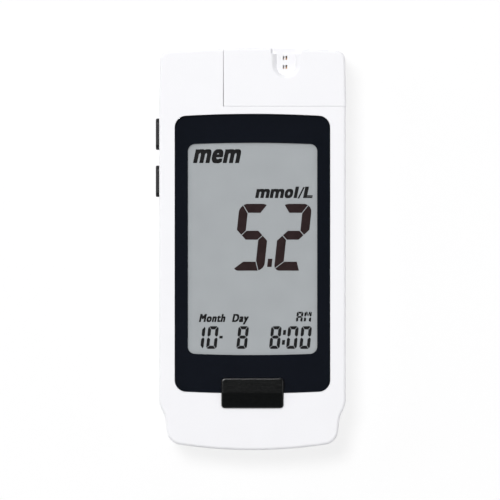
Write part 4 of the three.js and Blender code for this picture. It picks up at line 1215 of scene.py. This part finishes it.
for row in frame["record"]["subparts"]:
    node = frame["nodes"][row["node"]]
    node.data.materials.clear()
    node.data.materials.append(MATERIALS[row["material_slot"]])

# Studio, in metres but for the lens and its sensor

FLOOR_SIZE = 4.0
FLOOR_DROP = 0.00005
FLOOR_WHITE_SHARE = 0.81
WORLD_STRENGTH = 0.1
WALL_TOP = 0.15
DARK_CEILING = 0.4
CAMERA_HEIGHT = 1.515
CAMERA_X = -0.0006
CAMERA_Y = -0.000205
CAMERA_LENS = 447.2
CAMERA_SENSOR = 36.0

Lamp = namedtuple("Lamp", "name place size power colour")
LAMPS = (
    Lamp("overhead", place=(-0.42, 0.56, 2.09), size=0.62, power=34.8, colour=(1, 0.998, 0.995)),
    Lamp("left", place=(-1, 0.3, 0.5), size=0.8, power=3, colour=(1, 1, 1)),
    Lamp("back", place=(0.1, 1, 0.5), size=0.8, power=2.5, colour=(1, 1, 1)),
    Lamp("right", place=(1, 0.1, 0.5), size=0.8, power=2, colour=(0.98, 0.98, 1)),
    Lamp("front", place=(0, -1, 0.6), size=0.8, power=1.6, colour=(0.98, 0.98, 1)),
)


def plainly_seen(tree):
    """Two switches: the first is 1 for the camera's own rays, the second for mirrored ones."""
    path = tree.nodes.new("ShaderNodeLightPath")
    mirrored_rays = worked(
        tree, "MAXIMUM", path.outputs["Is Glossy Ray"], path.outputs["Is Transmission Ray"])
    return path.outputs["Is Camera Ray"], mirrored_rays


def floor():
    """White ground that keeps a faint part of the meter's shadow."""
    bm = bmesh.new()
    half = FLOOR_SIZE / 2
    bm.faces.new([bm.verts.new((x, y, -FLOOR_DROP)) for x, y in (
        (-half, -half), (half, -half), (half, half), (-half, half))])
    ground = object_from(bm, "floor")
    material = MATERIALS["floor_white"]
    tree = material.node_tree
    white = tree.nodes.new("ShaderNodeEmission")
    camera_rays, mirrored_rays = plainly_seen(tree)
    share = worked(
        tree, "MULTIPLY", worked(tree, "MAXIMUM", camera_rays, mirrored_rays), FLOOR_WHITE_SHARE)
    ground_shader = mixed(
        tree, share, tree.nodes["Principled BSDF"].outputs["BSDF"], white.outputs["Emission"])
    tree.links.new(ground_shader, tree.nodes["Material Output"].inputs["Surface"])
    ground.data.materials.append(material)


def lamp(name, place, size, power, colour):
    """Large soft lamp that faces the meter and doesn't show in the picture."""
    light = bpy.data.lights.new(name, "AREA")
    light.shape = "DISK"
    light.size = size
    light.energy = power
    light.color = colour
    stand = holder(name, light)
    stand.location = place
    stand.rotation_euler = Vector(place).to_track_quat("Z", "Y").to_euler()
    stand.visible_camera = False


def sky():
    """White background; metal and glass see it as a white wall under a dark ceiling."""
    world = bpy.data.worlds.new("studio")
    world.use_nodes = True
    tree = world.node_tree
    background = tree.nodes["Background"]
    background.inputs["Color"].default_value = (1, 1, 1, 1)
    place = tree.nodes.new("ShaderNodeTexCoord")
    parts = tree.nodes.new("ShaderNodeSeparateXYZ")
    tree.links.new(place.outputs["Generated"], parts.inputs["Vector"])
    wall = ranged(tree, parts.outputs["Z"], WALL_TOP, DARK_CEILING, 1, 0)
    camera_rays, mirrored_rays = plainly_seen(tree)
    white = worked(tree, "MAXIMUM", camera_rays, worked(tree, "MULTIPLY", mirrored_rays, wall))
    tree.links.new(ranged(tree, white, 0, 1, WORLD_STRENGTH, 1), background.inputs["Strength"])
    bpy.context.scene.world = world


def camera():
    lens = bpy.data.cameras.new("camera")
    lens.lens = CAMERA_LENS
    lens.sensor_width = CAMERA_SENSOR
    stand = holder("camera", lens)
    stand.location = (CAMERA_X, CAMERA_Y, CAMERA_HEIGHT)
    bpy.context.scene.camera = stand


floor()
sky()
for settings in LAMPS:
    lamp(*settings)
camera()
bpy.context.scene.view_settings.view_transform = "Standard"
